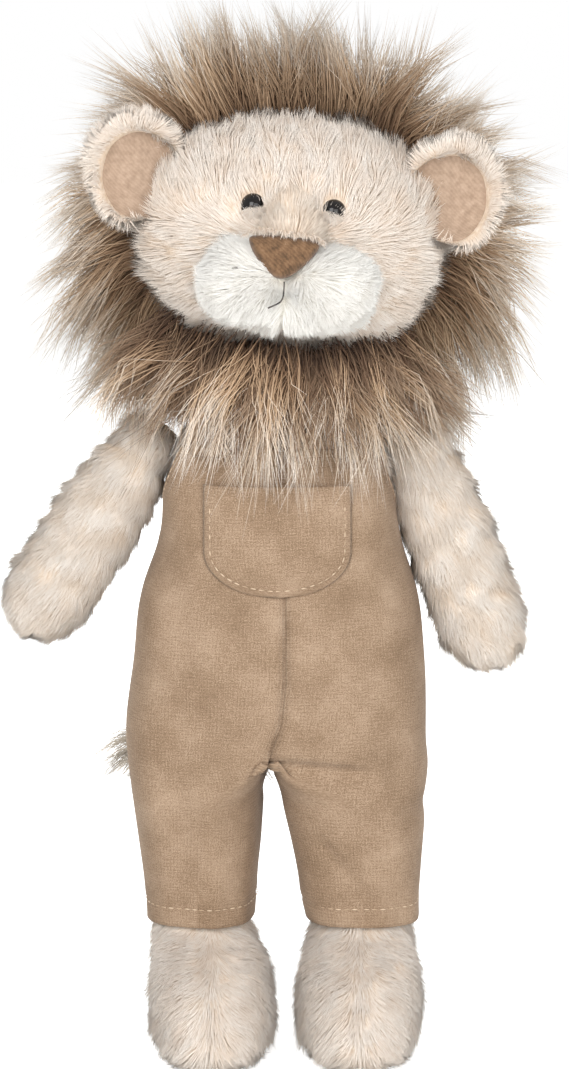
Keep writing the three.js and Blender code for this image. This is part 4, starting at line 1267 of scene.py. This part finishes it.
def overall_point(sign, u, height):
    """A point of the cloth on the toy's plan, at u round one half and at a height."""
    middle, leg_wide, leg_deep = leg_ring(min(height, HIP))
    wide, deep = trunk_at(max(height, SEAT))
    if u < OUTER:
        angle = math.pi * (u / OUTER - 0.5)
        across, along = rounded(angle, TRUNK_SQUARE)
        body_x, body_y = wide * across, deep * along - TRUNK_FORWARD
    else:
        share = (u - OUTER) / (1 - OUTER)
        angle = math.pi * (0.5 + share)
        body_x, body_y = 0.0, deep * math.cos(math.pi * share) - TRUNK_FORWARD
    across, along = rounded(angle, LEG_SQUARE)
    leg_x, leg_y = middle + leg_wide * across, leg_deep * along - HIP_FORWARD
    whole = float(smooth((height - LEGS_PART) / (BODY_WHOLE - LEGS_PART)))
    seat = float(smooth((height - 72) / 56))
    return Vector((sign * mix(leg_x, body_x, whole), mix(leg_y, body_y, seat), height))


def left_leg_folds(x, height, front):
    """The overhang below the crotch, a crease that runs down to the hem's outer side, a nip at the side."""
    below = 121.5 - 0.13 * x - height
    window = float(smooth((x + 3) / 6) * smooth((40 - x) / 14)) * front
    step = float(smooth(below / 2.4)) * bell(max(0.0, below - 3), 9.5)
    out = window * (1.9 * bell(below + 4, 5) - 3.8 * step)
    along = ((x - 18) * 15 - (height - 84) * 22) / 26.6
    away = (x - 18) * 0.826 + (height - 84) * 0.563
    run = float(smooth((along + 6) / 8) * smooth((32 - along) / 8)) * front
    out += run * (1.1 * bell(away - 6, 4.5) - 1.2 * bell(away, 1.9))
    side = float(smooth((x - 42) / 10))
    chest = 1.6 * float(smooth((x - 30) / 12)) * bell(height - 220, 15)
    return out + chest + side * (0.9 * bell(height - 112, 7) - 1.0 * bell(height - 97, 5))


def right_leg_folds(x, height, front):
    """A long soft ridge down the front with a hollow beside it, a fuller thigh and a narrower hem."""
    low = float(smooth((114 - height) / 14)) * front
    out = low * (1.3 * bell(x + 25, 6) - 1.0 * bell(x + 39, 5))
    out -= 0.9 * front * bell(x + 42, 9) * bell(height - 150 - 0.4 * (x + 42), 13)
    side = float(smooth((-x - 36) / 16))
    out += 3.2 * float(smooth((-x - 28) / 13)) * bell(height - 220, 16)
    out += side * (3.6 * bell(height - 122, 24) + 1.2 * bell(height - 170, 16) - 2.2 * bell(height - 51, 22))
    return out


def folds(sign, x, y, height):
    """How far the cloth stands in or out: the photograph's folds in front, plain ones behind."""
    front = float(smooth((12 - y) / 24))
    behind = 1 - front
    out = left_leg_folds(x, height, front) if sign > 0 else right_leg_folds(x, height, front)
    seat = behind * float(smooth((56 - abs(x)) / 20))
    out += seat * (0.8 * bell(height - 112, 6) - 1.4 * bell(height - 101, 4.5))
    out += 0.5 * behind * float(smooth((120 - height) / 40)) * math.sin(abs(x) * 0.24 + height * 0.05 + sign)
    out += 0.35 * math.sin(height * 0.11 + x * 0.12) * math.sin(x * 0.21 - height * 0.03 + sign)
    out += 0.45 * bell(height - 57, 7) * math.sin(x * 0.33 + y * 0.21 + 1.3 * sign)
    return out


# Heights and shifts of the seam, of both legs above the crotch and of each below it
LEAN_BOTH = [(51, 0), (117, -5.2), (124, -3.4), (134, 0.2), (150, 1.8), (190, 1.8), (202, 0), (300, 0)]
LEAN_LEFT = [(51, 0), (64, -1.2), (76, -2.6), (98, -5.2), (108, -6.6), (117, -5.2), (300, 0)]
LEAN_RIGHT = [(51, 0), (70, -2.2), (90, -3.2), (110, -3.2), (117, -5.2), (300, 0)]


def lean(sign, x, y, height):
    """How far the middle of the front leans to one side, where the seam and the crotch wander."""
    table = LEAN_BOTH if height >= 117 else LEAN_LEFT if sign > 0 else LEAN_RIGHT
    heights, shifts = zip(*table)
    front = float(smooth((14 - y) / 30))
    return float(np.interp(height, heights, shifts)) * front * bell(x, 22)


def outward(sign, u, height):
    """The way out of the cloth at a point of it."""
    ahead = overall_point(sign, (u + 0.004) % 1, height) - overall_point(sign, (u - 0.004) % 1, height)
    way = Vector((ahead.y * sign, -ahead.x * sign, 0))
    return way.normalized() if way.length > 1e-6 else Vector((0, -1, 0))


def arc_lengths(height, samples=200):
    """How far round one half the cloth has come at each share of the way, in metres."""
    line = [overall_point(1, k / samples, height) for k in range(samples + 1)]
    steps = [0.0]
    for a, b in zip(line, line[1:]):
        steps.append(steps[-1] + (b - a).length)
    return np.array(steps) / 1000


ROUND_SEAT, ROUND_LEG = arc_lengths(SEAT), arc_lengths(80)
SHARES = np.linspace(0, 1, len(ROUND_SEAT))
# One half's map is moved this far in metres, so that its mottle isn't the other's mirror image
HALF_APART = 0.47
# A seam is this share of the way round wide, and the cloth is drawn in so far at a seam and at the hem's row
SEAM_WIDTH, SEAM_DEEP, HEM_DEEP = 0.007, 0.5, 0.4
# How far from the hem and from the upper edge the stitches run
HEM_STITCH, EDGE_STITCH = 7.5, 2.6
# The cloth's thickness, drawn coarse, and how far its face lies inside the solids' outline
CLOTH_WALL, CLOTH_SUNK = 1.2, 0.9


def overalls_half(sign):
    """One half as a sheet. Its map is measured from its side and follows the seat above and the leg below."""
    def place(u, v):
        height = mix(HEM, top_edge(u), v)
        point = overall_point(sign, u, height)
        seam = bell(min(u, abs(OUTER - u)), SEAM_WIDTH) * float(smooth((height - CROTCH) / 12))
        inner = 1.0
        if u > OUTER:
            inner -= float(smooth((height - 95) / 18) * smooth(min(u - OUTER, 1 - u) / 0.05))
        hem = bell(height - HEM - HEM_STITCH, 1)
        push = folds(sign, point.x, point.y, height) * inner - SEAM_DEEP * seam - HEM_DEEP * hem
        point += outward(sign, u, height) * (push - CLOTH_SUNK)
        if height > 114:
            point.x = max(point.x * sign, -0.05) * sign
        if min(u, 1 - u, abs(u - OUTER)) < 1e-4:
            point.x = mix(point.x, -0.05 * sign, float(smooth((height - CROTCH) / 6)))
        point.x += lean(sign, point.x, point.y, height)
        return point

    bm = moulded(150, 130, place, cloth_at=lambda u, v: (u, v))
    cloth = bm.loops.layers.uv["Cloth"]
    hidden = []
    for face in bm.faces:
        along = [loop[cloth].uv.x for loop in face.loops]
        if min(along) > OUTER - 1e-5 and min(v.co.z for v in face.verts) > INNER_CUT:
            hidden.append(face)
    bmesh.ops.delete(bm, geom=hidden, context="FACES")
    seat, leg = (around - np.interp(OUTER / 2, SHARES, around) for around in (ROUND_SEAT, ROUND_LEG))
    for face in bm.faces:
        for loop in face.loops:
            u, v = loop[cloth].uv
            height = mix(HEM, top_edge(u), v)
            whole = float(smooth((height - LEGS_PART) / (BODY_WHOLE - LEGS_PART)))
            round_it = mix(np.interp(u, SHARES, leg), np.interp(u, SHARES, seat), whole)
            loop[cloth].uv = (round_it + (HALF_APART if sign < 0 else 0), height / 1000)
    return bm


for word, sign in SIDES:
    half = keep(f"overalls_{word}_half", overalls_half(sign), linen, None, (), to_body)
    # the middle of the body at the height above which the inner side's cloth is cut away, in metres
    start = to_body([(0, 0, INNER_CUT)])[0] / 1000
    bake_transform(half)
    panel = "overalls_front" if sign < 0 else "overalls_back"
    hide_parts(f"trouser_{word}", f"lap_fold_{word}", panel)
    walled(half, CLOTH_WALL, -1)

# Pocket, with its stitches

# Its half width, the heights of its top, of the start of its round corners and of its lowest point, and its
# shift aside
POCKET_HALF, POCKET_TOP, POCKET_CORNER, POCKET_LOW, POCKET_X = 28, 225, 200, 183, -1.2
POCKET_FLAT = (0.056, 0.042)
# How far the patch and its stitches stand out of the bib, where its hem begins, and the stitches' way inwards
POCKET_PROUD, STITCH_PROUD = 1.2, 1.35
POCKET_HEM, STITCH_INSET = 216.5, 2.6


def trunk_bulge(x, wide):
    """The share of its depth that the trunk has left at a place across it."""
    return max(0.0, 1 - (abs(x) / wide) ** TRUNK_SQUARE) ** (1 / TRUNK_SQUARE)


def bib_front(x, z, proud):
    """A place in front of the bib that stands so far out of it."""
    wide, deep = trunk_at(z)
    return Vector((x, -deep * trunk_bulge(x, wide) - TRUNK_FORWARD + CLOTH_SUNK - proud, z))


def pocket_puff(share, z):
    """How far the pocket swells at a share of its half width and at a height."""
    return 1.3 * (1 - share ** 6) * float(smooth((z - POCKET_LOW) / 8))


def pocket_outline(inset):
    """Half widths of the pocket from its top to its rounded bottom."""
    half, deep = POCKET_HALF - inset, POCKET_CORNER - POCKET_LOW - inset
    points = [(half, POCKET_TOP - inset), (half, POCKET_CORNER)]
    for k in range(1, 12):
        angle = math.pi / 2 * k / 12
        points.append((half * math.cos(angle), POCKET_CORNER - deep * math.sin(angle)))
    return points


def pocket_point(u, v):
    z = mix(POCKET_LOW + 0.05, POCKET_TOP, v)
    half = POCKET_HALF
    if z < POCKET_CORNER:
        half *= math.sqrt(max(0.0, 1 - ((POCKET_CORNER - z) / (POCKET_CORNER - POCKET_LOW)) ** 2))
    share = 2 * u - 1
    hem = 0.5 * float(smooth((z - POCKET_HEM) / 1.2))
    return bib_front(share * max(half, 0.4) + POCKET_X, z, POCKET_PROUD + pocket_puff(share, z) + hem)


pocket = keep("pocket_patch", moulded(40, 34, pocket_point, *POCKET_FLAT), linen, "torso", ["pocket"],
              to_body)
walled(pocket, CLOTH_WALL, -1)

# Topstitches


def topstitches(name, body, line):
    """A row of topstitches along a line of points on the toy's plan, each a small rounded bar."""
    pitch, long, thick = 3.2, 2.24, 0.52
    line = to_body([tuple(point) for point in line])
    steps = np.r_[0, np.cumsum(np.linalg.norm(np.diff(line, axis=0), axis=1))]

    def along(at):
        return np.array([np.interp(at, steps, line[:, k]) for k in range(3)])

    bm = bmesh.new()
    for begin in np.arange(0, steps[-1] - long, pitch):
        a, b = along(begin), along(begin + long)
        way = Vector(b - a)
        bar = bmesh.ops.create_uvsphere(bm, u_segments=6, v_segments=4, radius=1)["verts"]
        bmesh.ops.scale(bm, verts=bar, vec=(thick / 2, thick / 2, way.length / 2))
        bmesh.ops.rotate(bm, verts=bar, matrix=way.to_track_quat("Z", "Y").to_matrix())
        bmesh.ops.translate(bm, verts=bar, vec=Vector((a + b) / 2))
    keep(name, bm, tan_thread, body)


def pocket_row(name, points):
    """Stitches along points of the pocket's face, given from its middle line."""
    line = [bib_front(x + POCKET_X, z, STITCH_PROUD + pocket_puff(x / POCKET_HALF, z)) for x, z in points]
    topstitches(name, "torso", line)


def cloth_row(name, body, sign, shares, height_at, sunk):
    """Stitches round one half of the overalls, on its folds and sunk a little into them."""
    line = []
    for u in shares:
        height = height_at(u)
        point = overall_point(sign, u, height)
        line.append(point + outward(sign, u, height) * (folds(sign, point.x, point.y, height) - sunk))
    topstitches(name, body, line)


right_side = pocket_outline(STITCH_INSET)
bottom = (0, POCKET_LOW + STITCH_INSET)
pocket_row("pocket_topstitch", [(-x, z) for x, z in right_side] + [bottom] + right_side[::-1])
pocket_row("pocket_hem_topstitch", [(x, POCKET_HEM + 1) for x in np.linspace(-25, 25, 20)])
for word, sign in SIDES:
    cloth_row(f"hem_{word}_topstitch", f"leg_{word}", sign, np.linspace(0, 1, 140),
              lambda u: HEM + HEM_STITCH, 1.1)
    cloth_row(f"edge_{word}_topstitch", "torso", sign, np.linspace(0.02, OUTER - 0.02, 260),
              lambda u: top_edge(u) - EDGE_STITCH, 0.8)

# Straps over the shoulders

# Heights of their ends and of their top, and how far they stand out of the trunk and above it
STRAP_FRONT, STRAP_BACK, STRAP_TOP = 233, 219, 250
STRAP_PROUD, STRAP_RAISED = 1.2, 2.2
# The cut size, and the map's, which draws the weave longer than life along the strap
STRAP_FLAT, STRAP_MAP = (0.013, 0.105), (0.013, 0.06)


def strap_point(sign):
    """From inside the bib's corner over the shoulder to inside the back, close on the trunk."""
    def place(u, v):
        x = sign * STRAP_ASIDE + (u - 0.5) * STRAP_WIDTH
        foot = STRAP_FRONT if v < 0.5 else STRAP_BACK
        z = mix(foot, STRAP_TOP, max(0.0, math.cos(math.pi * (v - 0.5))) ** 0.5)
        wide, deep = trunk_at(z)
        y = math.copysign(deep * max(trunk_bulge(x, wide), 0.12), v - 0.5) if abs(v - 0.5) > 0.02 else 0
        return x, y + math.copysign(STRAP_PROUD, v - 0.5) - TRUNK_FORWARD, z + STRAP_RAISED
    return place


for word, sign in SIDES:
    strap = keep(f"strap_{word}_webbing", moulded(6, 40, strap_point(sign), *STRAP_MAP), linen, "torso",
                 [f"strap_{word}"], to_body)
    walled(strap, 1.5, 0)

# Tail

TAIL_ROOT, TAIL_HEIGHT, TAIL_RADIUS = 30.84, 136, 3.6
TAIL_ASIDE, TAIL_AWAY, TAIL_DOWN = 30, 23, 30
# Shares of the way along the tail, and of its way aside, away from the seat and down
TAIL = [(0, 0, 0, 0), (1 / 3, 0.06, 0.4, 0.06), (2 / 3, 0.45, 0.85, 0.45), (1, 1, 1, 1)]


def tail_point(u, v):
    aside, away, down = between(TAIL, v)
    angle = 2 * math.pi * u
    radius = TAIL_RADIUS if 0.02 < v < 0.98 else 0.0
    return (
        -TAIL_ASIDE * aside + radius * math.cos(angle),
        TAIL_ROOT + TAIL_AWAY * away + radius * 0.6 * math.sin(angle),
        TAIL_HEIGHT - TAIL_DOWN * down + radius * math.sin(angle),
    )


tail = keep("tail_backing", moulded(16, 30, tail_point), beige_backing, "tail", ["tail"], to_body)


def tail_comb(points):
    return np.broadcast_to([-0.6, 0.2, -1.0], points.shape)


def in_seat(points):
    return points[:, 1] < PLAN_Y + 36.5


plush("tail_pile", "tail", tail, beige_pile, 6000, 81, tail_comb, in_seat, length=5.0)


def tuft():
    """Long pale hair that fans from the end of the tail, wide enough to show beside and between the legs."""
    number = 90
    rng = np.random.default_rng(91)
    low, high = (np.array(corner) * 1000 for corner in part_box("tail_tuft"))
    middle, half = (low + high) / 2, (high - low) / 2
    way = unit(rng.normal(size=(number, 3)))
    roots = middle + way * half * [0.3, 0.4, 0.25] + [0, 0, half[2] * 0.45]
    ends = middle + way * half * [1.75, 0.95, 0.4] - [0, 0, half[2] * 0.75]
    ends[:, 0] += 5 * np.sign(way[:, 0])
    ends[:, 2] += 0.35 * np.abs(ends[:, 0] - middle[0])
    knees = mix(roots, ends, 0.45) + way * half * [0.3, 0.4, 0] + [0, 0, half[2] * 0.35]
    locks("tail_tuft_locks", "tail", tail_pile, roots, knees, ends, way, 36, 2.4, 92, ["tail_tuft"],
          bright=0.6, vary=0.6)


tuft()

# Neck, which only shows between the locks

neck = keep("neck_knit", orb((0, 0, 262), (16, 16, 20), 2.1, 32, 20), neck_knit, "neck", ["neck_plug"],
            to_body)

# Floor, backdrop and light


def either(tree, a, b):
    return add(tree, "Math", {0: a, 1: b}, operation="MAXIMUM").outputs[0]


def studio_paper():
    """Matt white paper that keeps the toy's shadow, and is white itself to the camera and in reflections."""
    paper = bpy.data.materials.new("studio_paper_white")
    paper.use_nodes = True
    tree = paper.node_tree
    tree.nodes.clear()
    rays = add(tree, "LightPath").outputs
    seen = either(tree, rays["Is Camera Ray"], rays["Is Glossy Ray"])
    seen = either(tree, seen, rays["Is Transmission Ray"])
    matt = add(tree, "BsdfDiffuse", {"Color": linear("#f2f2f0")})
    glow = add(tree, "Emission", {"Color": linear("#ffffff"), "Strength": 0.8})
    both = add(tree, "AddShader", {0: matt.outputs[0], 1: glow.outputs[0]})
    choice = add(tree, "MixShader", {0: seen, 1: matt.outputs[0], 2: both.outputs[0]})
    add(tree, "OutputMaterial", {"Surface": choice.outputs[0]})
    return paper


def floor():
    bm = bmesh.new()
    bmesh.ops.create_grid(bm, x_segments=1, y_segments=1, size=6)
    mesh = bpy.data.meshes.new("floor")
    bm.to_mesh(mesh)
    bm.free()
    mesh.materials.append(studio_paper())
    piece = bpy.data.objects.new("floor", mesh)
    bpy.context.scene.collection.objects.link(piece)


def studio_air():
    """Soft even light from all round, seen as plain white."""
    world = bpy.data.worlds.new("studio")
    bpy.context.scene.world = world
    world.use_nodes = True
    tree = world.node_tree
    tree.nodes.clear()
    rays = add(tree, "LightPath").outputs
    seen = either(tree, rays["Is Camera Ray"], rays["Is Glossy Ray"])
    soft = add(tree, "Background", {"Color": linear("#ffffff"), "Strength": 0.3})
    white = add(tree, "Background", {"Color": linear("#ffffff"), "Strength": 1.0})
    choice = add(tree, "MixShader", {0: seen, 1: soft.outputs[0], 2: white.outputs[0]})
    add(tree, "OutputWorld", {"Surface": choice.outputs[0]})


def lamp(name, place, size, power):
    """A soft box that looks at the middle of the toy. Its place and size are metres and its power watts."""
    light = bpy.data.lights.new(name, "AREA")
    light.shape = "RECTANGLE"
    light.size, light.size_y = size
    light.energy = power
    holder = bpy.data.objects.new(name, light)
    holder.location = place
    holder.rotation_euler = (Vector((0, 0, 0.2)) - Vector(place)).to_track_quat("-Z", "Y").to_euler()
    bpy.context.scene.collection.objects.link(holder)


floor()
studio_air()
lamp("key_softbox", (-0.5, -1.5, 0.95), (0.9, 0.9), 19)
lamp("fill_softbox", (0.6, -1.5, 0.55), (1.0, 1.0), 13.5)
lamp("rim_softbox", (0.9, 1.3, 1.0), (1.2, 1.0), 15)
lamp("back_softbox", (-0.9, 1.3, 0.8), (1.2, 1.0), 12)
